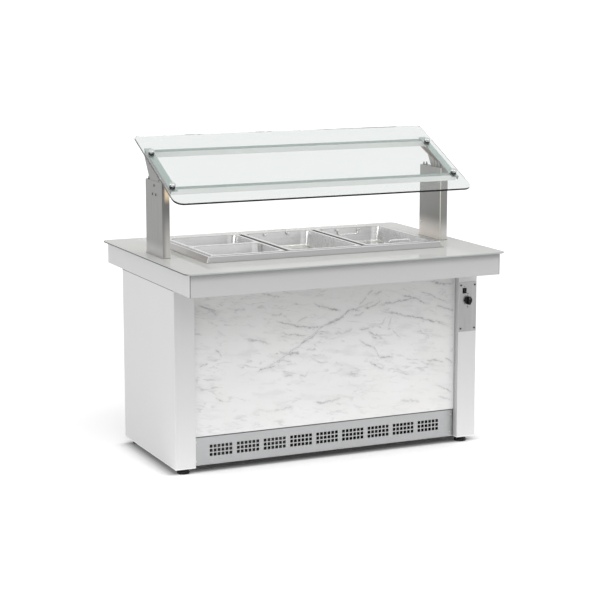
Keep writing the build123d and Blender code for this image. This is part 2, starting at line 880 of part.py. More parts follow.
def make_bracket():
    """Return the right bracket: an upright web and the folded flange under the glass."""
    outline = [
        slope_point(bracket_lower, flange_top),
        slope_point(bracket_lower, bracket_strip),
        (bracket_tail_front, slope_height(bracket_tail_front, bracket_strip)),
        (bracket_tail_front, post_top - bracket_tail_length),
        (bracket_tail_back, post_top - bracket_tail_length),
        (bracket_tail_back, post_top),
        slope_point(bracket_upper - bracket_back_step, bracket_back_strip),
        slope_point(bracket_upper, flange_top),
    ]
    web = Pos(web_inner, 0, 0) * extrude(Plane.YZ * Polygon(*outline, align=None), bracket_sheet)
    bracket = web + on_canopy((post_inner, web_outer), (bracket_lower, bracket_upper), (flange_top, rail_top))
    for along in clamp_places:
        bracket -= canopy * rod_z(post_middle, along, (-rail_top, -flange_top), stud_radius + stud_clearance)
    for y, z in bracket_bolt_places():
        bracket -= rod_x(y, z, (web_inner, web_outer), bracket_bolt_radius + screw_hole_clearance)
    return bracket


def slope_height(y, below):
    """Return the height of the line at a depth under the canopy's middle plane, at a given Y."""
    along = (y - glass_front_y - below * slope_sin) / slope_cos
    return slope_point(along, below)[1]


def make_rail(place):
    """Return a rail between the brackets: a channel that is open below."""
    bottom = rail_top + rail_height
    rail = on_canopy(about(0, web_inner), about(place, rail_width / 2), (rail_top, bottom))
    return rail - on_canopy(
        about(0, web_inner), about(place, rail_width / 2 - rail_sheet), (rail_top + rail_sheet, bottom)
    )


def make_clamps():
    """Return the clamp knobs and gaskets of both brackets, as two groups of solids."""
    knobs, gaskets = [], []
    glass_top = glass_thickness / 2
    foot = glass_top + gasket_above
    for along in clamp_places:
        for side in (-1, 1):
            x = side * post_middle
            neck = foot + clamp_neck
            knob = rod_z(x, along, (foot, neck), clamp_waist_radius)
            head = rod_z(x, along, (neck, foot + clamp_height), clamp_radius)
            head = fillet(head.edges().group_by(Axis.Z)[-1], clamp_edge)
            knob += head + rod_z(x, along, (-rail_top, foot), stud_radius)
            knobs.append(canopy * knob)
            for z_span in ((glass_top, foot), (-flange_top, -glass_top)):
                ring = rod_z(x, along, z_span, gasket_radius)
                ring -= rod_z(x, along, z_span, stud_radius + stud_clearance)
                gaskets.append(canopy * ring)
    return Compound(knobs), Compound(gaskets)


def make_lamp():
    """Return the lamp's housing and diffuser, which fill the channel of the rear rail."""
    half = rail_width / 2 - rail_sheet - lamp_fit
    top = rail_top + rail_sheet
    middle = top + lamp_housing_height
    bottom = rail_top + rail_height
    x_span = about(0, web_inner - lamp_end_gap)
    housing = on_canopy(x_span, about(rear_rail_place, half), (top, middle))
    diffuser = on_canopy(x_span, about(rear_rail_place, half), (middle, bottom))
    return housing, diffuser


def make_wires():
    """Return the three lamp wires, from the top of the right post up into the rear rail."""
    wires = []
    for x, y in wire_starts():
        rise = slope_height(y, rail_top + wire_under_flange)
        bend_y, bend_z = slope_point(rear_rail_place, rail_top + rail_height + wire_under_rail)
        end_y, end_z = slope_point(rear_rail_place, rail_top + rail_sheet + lamp_wire_radius)
        points = [
            (x, y, post_top - wire_tail),
            (x, y, rise),
            (x, bend_y, bend_z),
            (x, end_y, end_z),
        ]
        wires.append(bent_tube(points, [wire_lower_bend, wire_upper_bend], lamp_wire_radius))
    return Compound(wires)


def build_canopy():
    """Return the posts, brackets, rails, glass, clamps and lamp."""
    right_post = make_post()
    left_post = left_of(right_post)
    for x, y in wire_starts():
        right_post -= rod_z(x, y, (post_top - post_sheet, post_top), lamp_wire_radius + seat_gap)

    cover = block(
        (post_inner, post_inner + post_sheet),
        about(post_center_y, post_depth / 2 - post_sheet - cover_fit),
        (table_height + post_foot + cover_fit, post_top - post_sheet - cover_fit),
    )
    for y, z in cover_screws():
        cover -= rod_x(y, z, (post_inner, post_inner + post_sheet), screw_shank_radius + screw_hole_clearance)

    studs = []
    for x, y in top_studs():
        stud = rod_z(x, y, (post_top - top_stud_tail, post_top + top_stud_height), top_stud_radius)
        nut = Pos(x, y, post_top) * extrude(RegularPolygon(top_nut_radius, 6), top_nut_height)
        studs += [stud + nut, left_of(stud + nut)]

    anchors = []
    for side in (-1, 1):
        y = post_center_y + side * anchor_half
        seat = table_height + post_foot
        under = plate_bottom - frame_sheet
        bolt = rod_z(post_middle, y, (under - anchor_tail, seat), anchor_radius)
        bolt += Pos(post_middle, y, seat) * extrude(RegularPolygon(anchor_head, 6), anchor_head_height)
        nut = extrude(RegularPolygon(anchor_head, 6), anchor_nut_height)
        bolt += Pos(post_middle, y, under - anchor_nut_height) * nut
        anchors += [bolt, left_of(bolt)]

    bolts = []
    for y, z in bracket_bolt_places():
        bolt = rod_x(y, z, (web_inner - bracket_bolt_tail, post_outer), bracket_bolt_radius)
        head = rod_x(y, z, (post_outer, post_outer + bracket_head_height), bracket_bolt_head)
        bolt += fillet(head.faces().sort_by(Axis.X)[-1].edges(), bracket_head_edge)
        bolt += rod_x(y, z, (web_inner - bracket_nut_height, web_inner), bracket_bolt_head)
        bolts += [bolt, left_of(bolt)]

    outline = Rectangle(glass_width, glass_length)
    outline = fillet(outline.vertices().sort_by(Axis.Y)[:2], glass_corner_radius)
    outline = fillet(outline.vertices().sort_by(Axis.Y)[-2:], glass_rear_radius)
    glass = canopy * Pos(0, glass_length / 2, -glass_thickness / 2) * extrude(outline, glass_thickness)
    for along in clamp_places:
        for side in (-1, 1):
            hole = rod_z(side * post_middle, along, about(0, glass_thickness), glass_hole_radius)
            glass -= canopy * hole

    front_rail = make_rail(front_rail_place)
    rear_rail = make_rail(rear_rail_place)
    right_bracket = make_bracket()
    knobs, gaskets = make_clamps()
    housing, diffuser = make_lamp()
    return {
        "left_post": left_post,
        "right_post": right_post,
        "post_covers": Compound([cover, left_of(cover)]),
        "post_top_studs": Compound(studs),
        "post_anchor_bolts": Compound(anchors),
        "left_bracket": left_of(right_bracket),
        "right_bracket": right_bracket,
        "bracket_bolts": Compound(bolts),
        "front_rail": front_rail,
        "rear_rail": rear_rail,
        "canopy_glass": glass,
        "clamp_knobs": knobs,
        "clamp_gaskets": gaskets,
        "lamp_housing": housing,
        "lamp_diffuser": diffuser,
        "lamp_wires": make_wires(),
    }


def control_screws():
    """Return the X and Z of the four screws of the control plate."""
    x = control_half - control_screw_inset_x
    return [
        (pillar_middle + side * x, z)
        for side in (-1, 1)
        for z in (control_bottom + control_screw_inset_z, control_top - control_screw_inset_z)
    ]


def build_controls():
    """Return the control plate, rocker switch and thermostat."""
    plate = block(
        about(pillar_middle, control_half), (plate_face, cabinet_front), (control_bottom, control_top)
    )
    wall = (plate_face - cut_margin, cabinet_front + cut_margin)
    body_x, body_z = switch_body_width / 2, switch_body_height / 2
    plate -= block(about(switch_x, body_x + cutout_fit), wall, about(switch_z, body_z + cutout_fit))
    plate -= rod_y(pillar_middle, knob_z, wall, bushing_radius + cutout_fit)
    for x, z in control_screws():
        plate -= rod_y(x, z, wall, screw_shank_radius + screw_hole_clearance)

    housing = block(
        about(switch_x, bezel_width / 2), (bezel_face, plate_face), about(switch_z, bezel_height / 2)
    )
    housing = fillet(housing.faces().sort_by(Axis.Y)[0].edges(), bezel_edge)
    body_y = (plate_face, plate_face + switch_body_depth)
    housing += block(about(switch_x, body_x), body_y, about(switch_z, body_z))
    pocket_x = body_x - switch_wall
    pocket_z = body_z - switch_wall
    housing -= block(
        about(switch_x, pocket_x),
        (bezel_face, plate_face + switch_body_depth / 2),
        about(switch_z, pocket_z),
    )
    housing -= rod_x(rocker_pivot_y, switch_z, about(switch_x, body_x), rocker_pin_radius + shaft_clearance)

    half_x = pocket_x - rocker_side_gap
    end_z = pocket_z - rocker_reach * math.sin(math.radians(rocker_tilt))
    shoulder_y = rocker_shoulder - rocker_reach
    shoulder_z = end_z + rocker_side_gap
    outline = [
        (-rocker_reach, end_z),
        (rocker_notch - rocker_reach, 0),
        (-rocker_reach, -end_z),
        (shoulder_y, -shoulder_z),
        (rocker_root, -rocker_root_half),
        (rocker_root, rocker_root_half),
        (shoulder_y, shoulder_z),
    ]
    rocker = Pos(-half_x, 0, 0) * extrude(Plane.YZ * Polygon(*outline, align=None), 2 * half_x)
    rocker += rod_x(0, 0, about(0, body_x - rocker_side_gap), rocker_pin_radius)
    rocker = Pos(switch_x, rocker_pivot_y, switch_z) * Rot(-rocker_tilt, 0, 0) * rocker

    inside = cabinet_front + casing_sheet
    bushing_face = plate_face - bushing_reach
    thermostat = block(
        about(pillar_middle, thermostat_size / 2),
        (inside, inside + thermostat_depth),
        about(knob_z, thermostat_size / 2),
    )
    thermostat += rod_y(pillar_middle, knob_z, (bushing_face, inside), bushing_radius)
    shaft_end = inside + thermostat_depth / 2
    thermostat -= rod_y(pillar_middle, knob_z, (bushing_face, shaft_end), knob_shaft_radius + shaft_clearance)

    knob_back = plate_face - knob_gap
    knob_front = knob_back - knob_height
    knob = rod_y(pillar_middle, knob_z, (knob_front, knob_back), knob_radius)
    knob = fillet(knob.faces().sort_by(Axis.Y)[0].edges(), knob_edge)
    past_knob = knob_radius + cut_margin
    for side in (-1, 1):
        edge = pillar_middle + side * knob_grip_half
        outside = pillar_middle + side * past_knob
        knob -= block(
            sorted((edge, outside)),
            (knob_front - cut_margin, knob_front + knob_grip_depth),
            about(knob_z, past_knob),
        )
    recess_y = (bushing_face - knob_gap, knob_back + cut_margin)
    knob -= rod_y(pillar_middle, knob_z, recess_y, bushing_radius + knob_gap)
    knob += rod_y(pillar_middle, knob_z, (bushing_face - knob_gap, shaft_end - knob_gap), knob_shaft_radius)
    return {
        "control_plate": plate,
        "switch_housing": housing,
        "switch_rocker": rocker,
        "thermostat_body": thermostat,
        "thermostat_knob": knob,
    }


def condenser_row_z(row):
    """Return the height of one row of condenser tubes, counted from the bottom."""
    return machine_low + condenser_height * (row + 0.5) / condenser_tube_rows


def build_machine():
    """Return the condensing unit on the base tray and its pipes."""
    low = machine_low
    pack = (low, low + condenser_height)
    y_span = about(condenser_y, condenser_depth / 2)
    condenser = None
    fin_pitch = condenser_width / (fin_count - 1)
    for fin in range(fin_count):
        x = -condenser_width / 2 + fin * fin_pitch
        sheet = block(about(x, fin_sheet / 2), y_span, pack)
        condenser = sheet if condenser is None else condenser + sheet
    for row in range(condenser_tube_rows):
        z = condenser_row_z(row)
        condenser += rod_x(condenser_y, z, about(0, condenser_width / 2 + stub_length), condenser_tube_radius)
    for side in (-1, 1):
        foot_x = side * (condenser_width / 2 - condenser_foot / 2)
        condenser += block(about(foot_x, condenser_foot / 2), y_span, (tray_top, low + fin_sheet))

    hub_front = fan_y - fan_hub_length / 2
    hub_back = fan_y + fan_hub_length / 2
    fan = rod_y(0, fan_z, (hub_front, hub_back), fan_hub_radius)
    blade_length = fan_radius - blade_root
    for blade in range(fan_blades):
        turn = 360 / fan_blades * blade
        vane = Pos(fan_radius - blade_length / 2, 0, 0) * Rot(fan_pitch, 0, 0)
        fan += Pos(0, fan_y, fan_z) * Rot(0, turn, 0) * vane * Box(blade_length, blade_sheet, blade_chord)
    motor_face = hub_back + motor_gap
    bore_end = motor_face + motor_bore
    fan += rod_y(0, fan_z, (hub_back, bore_end - motor_bore_end), fan_shaft_radius)
    motor = rod_y(0, fan_z, (motor_face, motor_face + motor_length), motor_radius)
    motor = fillet(motor.edges(), motor_edge)
    leg_y = about(motor_face + motor_length / 2, motor_leg_depth / 2)
    motor += block(about(0, motor_leg_half), leg_y, (tray_top + tray_sheet, fan_z))
    motor += block(about(0, motor_foot_half), leg_y, (tray_top, tray_top + tray_sheet))
    motor -= rod_y(0, fan_z, (motor_face, bore_end), fan_shaft_radius + shaft_clearance)

    can_low = low + compressor_foot_sheet
    can = rod_z(compressor_x, compressor_y, (can_low, can_low + compressor_height), compressor_radius)
    can = fillet(can.edges(), compressor_edge)
    half_x, half_y = compressor_foot_width / 2, compressor_foot_depth / 2
    foot_z = (low, can_low + compressor_sink)
    can += block(about(compressor_x, half_x), about(compressor_y, half_y), foot_z)
    for side_x in (-1, 1):
        for side_y in (-1, 1):
            x = compressor_x + side_x * (half_x - mount_radius)
            y = compressor_y + side_y * (half_y - mount_radius)
            can += rod_z(x, y, (tray_top, low), mount_radius)
    pipe_z = can_low + suction_rise
    suction_end = compressor_x + compressor_radius + stub_length
    can += rod_x(compressor_y, pipe_z, (compressor_x, suction_end), pipe_radius)
    discharge_y = compressor_y - compressor_radius - stub_length
    discharge_z = condenser_row_z(condenser_tube_rows - 2)
    can += rod_y(compressor_x, discharge_z, (discharge_y, compressor_y), pipe_radius)

    inlet_x = condenser_width / 2 + stub_length + pipe_gap
    liquid_z = condenser_row_z(0)
    suction = bent_tube(
        [
            (coil_x, coil_half_y, pipe_joint_z),
            (coil_x, coil_half_y, pipe_z),
            (coil_x, compressor_y, pipe_z),
            (suction_end, compressor_y, pipe_z),
        ],
        [pipe_bend, pipe_bend],
        pipe_radius,
    )
    discharge = bent_tube(
        [
            (compressor_x, discharge_y, discharge_z),
            (compressor_x, condenser_y, discharge_z),
            (inlet_x, condenser_y, discharge_z),
        ],
        [pipe_bend],
        pipe_radius,
    )
    liquid = bent_tube(
        [
            (inlet_x, condenser_y, liquid_z),
            (coil_x, -coil_half_y, liquid_z),
            (coil_x, -coil_half_y, pipe_joint_z),
        ],
        [pipe_bend],
        pipe_radius,
    )
    return {
        "compressor": can,
        "condenser": condenser,
        "fan_motor": motor,
        "fan_blade": fan,
        "refrigerant_lines": Compound([suction, discharge, liquid]),
    }


def build_screws():
    """Return all the small cover screws as one group of solids."""
    small = screw(screw_shank_length)
    screws = []
    for y, z in cover_screws():
        right = Pos(post_inner, y, z) * Rot(0, -90, 0) * small
        screws += [right, left_of(right)]
    for x, z in control_screws():
        screws.append(Pos(x, plate_face, z) * Rot(90, 0, 0) * small)
    for x, z in grille_screws():
        front = Pos(x, grille_front, z) * Rot(90, 0, 0) * small
        screws += [front, rear_of(front)]
    return {"cover_screws": Compound(screws)}


def build_table():
    """Return every piece of the table by name."""
    nodes = {}
    for build in (
        build_top,
        build_cabinet,
        build_grilles,
        build_feet,
        build_well,
        build_pans,
        build_canopy,
        build_controls,
        build_machine,
        build_screws,
    ):
        nodes.update(build())
    return nodes


os.makedirs("parts", exist_ok=True)
for name, piece in build_table().items():
    export_step(piece, f"parts/{name}.step")
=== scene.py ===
"""Looks of a refrigerated buffet table: finishes, small fittings, studio light and camera."""

import json
import logging
import math
from dataclasses import dataclass
from enum import Enum
from typing import Sequence

import bmesh
import bpy
from mathutils import Matrix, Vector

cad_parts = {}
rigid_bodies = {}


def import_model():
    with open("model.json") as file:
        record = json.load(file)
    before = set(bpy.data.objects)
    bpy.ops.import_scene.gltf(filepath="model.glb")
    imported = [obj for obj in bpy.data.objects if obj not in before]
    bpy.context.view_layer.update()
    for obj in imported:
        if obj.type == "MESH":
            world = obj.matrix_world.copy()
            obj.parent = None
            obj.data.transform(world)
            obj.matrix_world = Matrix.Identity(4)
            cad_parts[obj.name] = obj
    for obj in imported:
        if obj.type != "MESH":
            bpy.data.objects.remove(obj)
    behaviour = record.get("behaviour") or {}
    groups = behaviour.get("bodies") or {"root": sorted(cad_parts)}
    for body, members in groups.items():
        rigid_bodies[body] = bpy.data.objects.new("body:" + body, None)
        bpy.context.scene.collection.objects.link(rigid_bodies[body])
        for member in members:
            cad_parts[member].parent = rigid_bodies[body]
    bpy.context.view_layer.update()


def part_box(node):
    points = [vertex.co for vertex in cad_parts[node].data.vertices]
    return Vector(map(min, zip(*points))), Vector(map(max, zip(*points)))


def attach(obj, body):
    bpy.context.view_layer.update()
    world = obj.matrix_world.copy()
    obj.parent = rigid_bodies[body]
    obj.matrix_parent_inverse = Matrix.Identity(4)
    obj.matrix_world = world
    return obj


LOG = logging.getLogger("buffet_table")
MM = 0.001
CM = 0.01
ROOT_BODY = "table"

Colour = tuple[float, float, float]
Direction = tuple[float, float, float]
Span = tuple[float, float]

BLACK: Colour = (0.0, 0.0, 0.0)
WHITE: Colour = (1.0, 1.0, 1.0)
ALONG_X: Direction = (1.0, 0.0, 0.0)
FACING_STEP: Span = (0.6, 0.9)
NOISE_MIDDLE = 0.5
GLASS_IOR = 1.5
SHARP_ANGLE = math.radians(30)
ROUND_SEGMENTS = 2
DOT_SEGMENTS = 20


class Axis(Enum):
    """Direction that a brushed or drawn grain runs in."""

    X = 0
    Y = 1
    Z = 2


class Signal:
    """A shader socket that takes part in Python arithmetic."""

    def __init__(self, graph: "Graph", socket: bpy.types.NodeSocket) -> None:
        """Wrap an output socket.

        Args:
            graph: The graph that the socket belongs to.
            socket: The output socket.
        """
        self.graph = graph
        self.socket = socket

    def __add__(self, other: "Value") -> "Signal":
        """Return self + other."""
        return self.graph.math("ADD", self, other)

    def __radd__(self, other: "Value") -> "Signal":
        """Return other + self."""
        return self.graph.math("ADD", other, self)

    def __sub__(self, other: "Value") -> "Signal":
        """Return self - other."""
        return self.graph.math("SUBTRACT", self, other)

    def __rsub__(self, other: "Value") -> "Signal":
        """Return other - self."""
        return self.graph.math("SUBTRACT", other, self)

    def __mul__(self, other: "Value") -> "Signal":
        """Return self * other."""
        return self.graph.math("MULTIPLY", self, other)

    def __rmul__(self, other: "Value") -> "Signal":
        """Return other * self."""
        return self.graph.math("MULTIPLY", other, self)

    def __truediv__(self, other: "Value") -> "Signal":
        """Return self / other."""
        return self.graph.math("DIVIDE", self, other)

    def __rtruediv__(self, other: "Value") -> "Signal":
        """Return other / self."""
        return self.graph.math("DIVIDE", other, self)

    def __abs__(self) -> "Signal":
        """Return the size of self without its sign."""
        return self.graph.math("ABSOLUTE", self, 0.0)

    def at_least(self, other: "Value") -> "Signal":
        """Return the larger of self and other."""
        return self.graph.math("MAXIMUM", self, other)

    def about(self, value: "Value", reach: float, middle: float = NOISE_MIDDLE) -> "Signal":
        """Return a value that self moves up and down by a reach, and not at all at its middle."""
        return value + reach * (self - middle)

    def ramp(self, start: float, end: float) -> "Signal":
        """Return a smooth step of self.

        Args:
            start: The value that gives 0.
            end: The value that gives 1; it may be below start.

        Returns:
            The step, between 0 and 1.
        """
        step = self.graph.add(
            "MapRange",
            {"interpolation_type": "SMOOTHSTEP"},
            {"Value": self, "From Min": start, "From Max": end},
        )
        return self.graph.out(step)


Value = Signal | float | Sequence[float]


@dataclass(frozen=True)
class Pattern:
    """A noise: its features per metre, its finer layers, their strength and how it bends itself."""

    scale: float
    detail: float = 2.0
    roughness: float = 0.5
    distortion: float = 0.0


class Graph:
    """The shader nodes of one material or of the world."""

    def __init__(self, tree: bpy.types.NodeTree) -> None:
        """Clear a node tree and write into it.

        Args:
            tree: The node tree of a material or of the world.
        """
        self.tree = tree
        self.tree.nodes.clear()

    def add(
        self,
        kind: str,
        settings: dict[str, object] | None = None,
        inputs: dict[str | int, Value] | None = None,
    ) -> bpy.types.Node:
        """Add any node.

        Args:
            kind: The node's type, without its ShaderNode prefix.
            settings: Properties that are set before the sockets.
            inputs: Values or links of the sockets, by name or index.

        Returns:
            The new node.
        """
        node = self.tree.nodes.new("ShaderNode" + kind)
        for key, value in (settings or {}).items():
            if key == "stops":
                self.set_stops(node.color_ramp.elements, value)
            else:
                setattr(node, key, value)
        for key, value in (inputs or {}).items():
            socket = node.inputs[key]
            if isinstance(value, Signal):
                self.tree.links.new(value.socket, socket)
            elif isinstance(value, (int, float)):
                socket.default_value = value
            else:
                padding = (1.0,) * (len(socket.default_value) - len(value))
                socket.default_value = (*value, *padding)
        return node

    def set_stops(
        self, elements: bpy.types.ColorRampElements, stops: Sequence[tuple[float, Sequence[float]]]
    ) -> None:
        """Give a colour ramp its stops.

        Args:
            elements: The ramp's elements, two of them at first.
            stops: The position and the four channels of each stop, in order.
        """
        while len(elements) < len(stops):
            elements.new(1.0)
        for element, (position, channels) in zip(elements, stops):
            element.position = position
            element.color = channels

    def out(self, node: bpy.types.Node, socket: str | int = 0) -> Signal:
        """Return an output of a node as a signal."""
        return Signal(self, node.outputs[socket])

    def math(self, operation: str, first: Value, second: Value) -> Signal:
        """Return a Math node's result."""
        return self.out(self.add("Math", {"operation": operation}, {0: first, 1: second}))

    def place(self) -> Signal:
        """Return the Object coordinates, in metres in the table's frame."""
        return self.out(self.add("TexCoord"), "Object")

    def facing(self) -> Signal:
        """Return the surface's own direction in the table's frame."""
        return self.out(self.add("TexCoord"), "Normal")

    def looking(self, way: Sequence[float]) -> Signal:
        """Return 1 where the surface looks along a way or against it, 0 where it lies along it."""
        dot = self.add("VectorMath", {"operation": "DOT_PRODUCT"}, {0: self.facing(), 1: way})
        return abs(self.out(dot, "Value"))

    def parts(self, vector: Signal) -> tuple[Signal, Signal, Signal]:
        """Return the X, Y and Z of a vector."""
        node = self.add("SeparateXYZ", {}, {"Vector": vector})
        return self.out(node, 0), self.out(node, 1), self.out(node, 2)

    def stretched(
        self, vector: Signal, scale: Sequence[float], turn: Sequence[float] = (0.0, 0.0, 0.0)
    ) -> Signal:
        """Return a vector turned, then scaled along each axis.

        Args:
            vector: The vector to change.
            scale: The factors along X, Y and Z.
            turn: The turns about X, Y and Z in radians.

        Returns:
            The changed vector.
        """
        turned = self.add("Mapping", {}, {"Vector": vector, "Rotation": turn})
        scaled = self.add("Mapping", {}, {"Vector": self.out(turned), "Scale": scale})
        return self.out(scaled)

    def noise(self, vector: Signal, pattern: Pattern) -> Signal:
        """Return a noise between 0 and 1, most of it near the middle.

        Args:
            vector: Where the noise is read.
            pattern: The noise's settings.

        Returns:
            The noise.
        """
        node = self.add(
            "TexNoise",
            {"noise_dimensions": "3D"},
            {
                "Vector": vector,
                "Scale": pattern.scale,
                "Detail": pattern.detail,
                "Roughness": pattern.roughness,
                "Distortion": pattern.distortion,
            },
        )
        return self.out(node)

    def cells(self, vector: Signal, scale: float) -> Signal:
        """Return the random colours of a pattern of cells."""
        return self.out(self.add("TexVoronoi", {}, {"Vector": vector, "Scale": scale}), "Color")

    def blend(self, factor: Value, first: Value, second: Value) -> Signal:
        """Return a colour between two colours."""
        node = self.add("Mix", {"data_type": "RGBA"}, {0: factor, 6: first, 7: second})
        return self.out(node, 2)

    def bump(self, height: Signal, depth: float) -> Signal:
        """Return a normal that a height from 0 to 1 has bent, over a real depth in metres."""
        return self.out(self.add("Bump", {}, {"Strength": 1.0, "Distance": depth, "Height": height}))

    def principled(self, inputs: dict[str | int, Value]) -> Signal:
        """Return a Principled shader with these inputs."""
        return self.out(self.add("BsdfPrincipled", {}, inputs))

    def show(self, shader: Signal) -> None:
        """Send a shader to the material's output."""
        self.add("OutputMaterial", {}, {"Surface": shader})


def shifted(span: Span, origin: float) -> Span:
    """Return a span that is measured from an origin as one in the table's frame."""
    return (origin + span[0], origin + span[1])


def dimmed(colour: Colour, factor: float) -> Colour:
    """Return a colour with each part multiplied by a factor."""
    return (colour[0] * factor, colour[1] * factor, colour[2] * factor)


@dataclass(frozen=True)
class Finish:
    """A surface finish, which makes one material."""

    name: str

    def shader(self, graph: Graph) -> Signal:
        """Return the finish's shader in a graph."""
        raise NotImplementedError

    def material(self) -> bpy.types.Material:
        """Make the finish's material on its first use.

        Returns:
            The material.
        """
        made = bpy.data.materials.get(self.name)
        if made is None:
            made = bpy.data.materials.new(self.name)
            made.use_nodes = True
            graph = Graph(made.node_tree)
            graph.show(self.shader(graph))
        return made


@dataclass(frozen=True)
class SatinPaint(Finish):
    """Sprayed paint with a faint orange peel and slow changes of tone."""

    colour: Colour
    roughness: float = 0.4
    roughness_reach: float = 0.12
    wear: Pattern = Pattern(14.0, 3.0)
    tone: Pattern = Pattern(3.0, 3.0)
    darkest: float = 0.97
    peel: Pattern = Pattern(700.0)
    peel_depth: float = 0.02 * MM

    def trimmed(self, graph: Graph, place: Signal, paint: Signal) -> Signal:
        """Return the paint's colour with its trim; plain paint has none."""
        return paint

    def shader(self, graph: Graph) -> Signal:
        """Make the paint's nodes.

        Args:
            graph: The graph to write into.

        Returns:
            The paint's shader.
        """
        place = graph.place()
        tone = graph.noise(place, self.tone)
        paint = graph.blend(tone, dimmed(self.colour, self.darkest), self.colour)
        return graph.principled(
            {
                "Base Color": self.trimmed(graph, place, paint),
                "Roughness": graph.noise(place, self.wear).about(self.roughness, self.roughness_reach),
                "Normal": graph.bump(graph.noise(place, self.peel), self.peel_depth),
            }
        )


@dataclass(frozen=True)
class HemmedPaint(SatinPaint):
    """Casing paint, with a painted highlight along the bottom edge and painted shade on the pillars' inner
    sides.
    """

    # Painted light: a highlight along the bottom edge, and shade on the pillars' inner sides that is darkest
    # at the panels.
    hem_highlight: Colour = (0.93, 0.93, 0.93)
    hem_top: float = 31 * MM
    hem_fade: float = 3 * MM
    jamb_shade: Colour = (0.6, 0.6, 0.6)
    jamb_reach: float = 606 * MM
    jamb_fade: float = 2 * MM
    root: Colour = (0.46, 0.46, 0.46)
    root_depth: float = 282 * MM
    root_fade: float = 14 * MM

    def trimmed(self, graph: Graph, place: Signal, paint: Signal) -> Signal:
        """Add the painted highlight along the bottom edge and the painted shade on the pillars' inner sides,
        darkest at the panels.

        Args:
            graph: The graph to write into.
            place: The Object coordinates.
            paint: The plain paint's colour.

        Returns:
            The casing's colour.
        """
        x, y, z = graph.parts(place)
        sideways = graph.looking(ALONG_X).ramp(*FACING_STEP)
        # Painted shade on the pillars' inner sides, darkest next to the marble panels.
        inner = abs(x).ramp(self.jamb_reach, self.jamb_reach - self.jamb_fade) * sideways
        root = abs(y).ramp(self.root_depth + self.root_fade, self.root_depth)
        cased = graph.blend(inner, paint, graph.blend(root, self.jamb_shade, self.root))
        # Painted highlight along the bottom edge of the casing.
        return graph.blend(z.ramp(self.hem_top, self.hem_top - self.hem_fade), cased, self.hem_highlight)


@dataclass(frozen=True)
class BandedLaminate(SatinPaint):
    """Laminate of a long apron board: banded ends with a dark line near each, and a painted shadow under the
    plate.
    """

    end: float = 687 * MM
    band: Colour = (0.75, 0.75, 0.75)
    band_depth: float = 0.3 * MM
    band_fade: float = 0.2 * MM
    end_line: Colour = (0.2, 0.2, 0.2)
    end_line_width: float = 2.8 * MM
    end_line_fade: float = 1.2 * MM
    # Painted shadow of the plate's overhang along the top of the board.
    plate_shadow: Colour = (0.5, 0.5, 0.5)
    plate_shadow_top: float = 838 * MM
    plate_shadow_height: float = 28 * MM

    def trimmed(self, graph: Graph, place: Signal, paint: Signal) -> Signal:
        """Add the painted shadow under the plate, the dark lines near the ends and the end bands.

        Args:
            graph: The graph to write into.
            place: The Object coordinates.
            paint: The plain laminate's colour.

        Returns:
            The apron's colour.
        """
        x, _, z = graph.parts(place)
        reach = abs(x)
        # Painted shadow of the plate's overhang, darkest at the top of the board.
        plate_shadow_mask = z.ramp(self.plate_shadow_top - self.plate_shadow_height, self.plate_shadow_top)
        board = graph.blend(plate_shadow_mask, paint, self.plate_shadow)
        # A dark line just inside each end of the board's face.
        end_line_start = self.end - self.end_line_width
        end_lined = graph.blend(reach.ramp(end_line_start - self.end_line_fade, end_line_start), board, self.end_line)
        band_start = self.end - self.band_depth
        return graph.blend(reach.ramp(band_start, band_start + self.band_fade), end_lined, self.band)


@dataclass(frozen=True)
class RailCoat(Finish):
    """Pale coat of the glass rails, with painted shade in green on the faces against the glass and a painted
    glow on the other faces.
    """

    colour: Colour
    # The upper colour is painted shade, and lit is the strength of a painted glow, though the rails are no
    # lamp.
    upper: Colour
    across: Direction
    lit: float
    smears: Pattern = Pattern(90.0, 3.0)
    smear_stretch: Direction = (0.05, 1.0, 1.0)
    darkest: float = 0.94
    roughness: float = 0.35
    roughness_reach: float = 0.1

    def shader(self, graph: Graph) -> Signal:
        """Make the coat's nodes.

        Args:
            graph: The graph to write into.

        Returns:
            The coat's shader.
        """
        smears = graph.noise(graph.stretched(graph.place(), self.smear_stretch), self.smears)
        coat = graph.blend(smears, dimmed(self.colour, self.darkest), self.colour)
        # Painted shade on the faces against the glass; the other faces carry a painted glow.
        against = graph.looking(self.across).ramp(*FACING_STEP)
        return graph.principled(
            {
                "Base Color": graph.blend(against, coat, self.upper),
                "Roughness": smears.about(self.roughness, self.roughness_reach),
                "Emission Color": graph.blend(against, coat, BLACK),
                "Emission Strength": self.lit,
            }
        )


@dataclass(frozen=True)
class Vein:
    """One printed marble vein: its run over the panel, its half width and its weight.

    The run's points are X and Z in centimetres, from left to right. The half width is in millimetres.
    """

    run: tuple[tuple[float, float], ...]
    width: float = 5.0
    weight: float = 0.5
    fade: float = 0.2

    def height_at(self, x: float) -> float:
        """Find the run's height.

        Args:
            x: The place along the panel.

        Returns:
            The run's Z there.
        """
        for (x0, z0), (x1, z1) in zip(self.run, self.run[1:]):
            if x <= x1:
                return z0 + (z1 - z0) * (x - x0) / (x1 - x0)
        return self.run[-1][1]

    def knots(self) -> list[tuple[float, float, float]]:
        """Find where the run bends or its ends stop fading.

        Returns:
            The X, Z and weight of each such place.
        """
        first, last = self.run[0][0], self.run[-1][0]
        length = self.fade * (last - first)
        places = sorted({x for x, _ in self.run} | {first + length, last - length})
        shares = [min(1.0, (x - first) / length, (last - x) / length) for x in places]
        return [(x, self.height_at(x), self.weight * share) for x, share in zip(places, shares)]


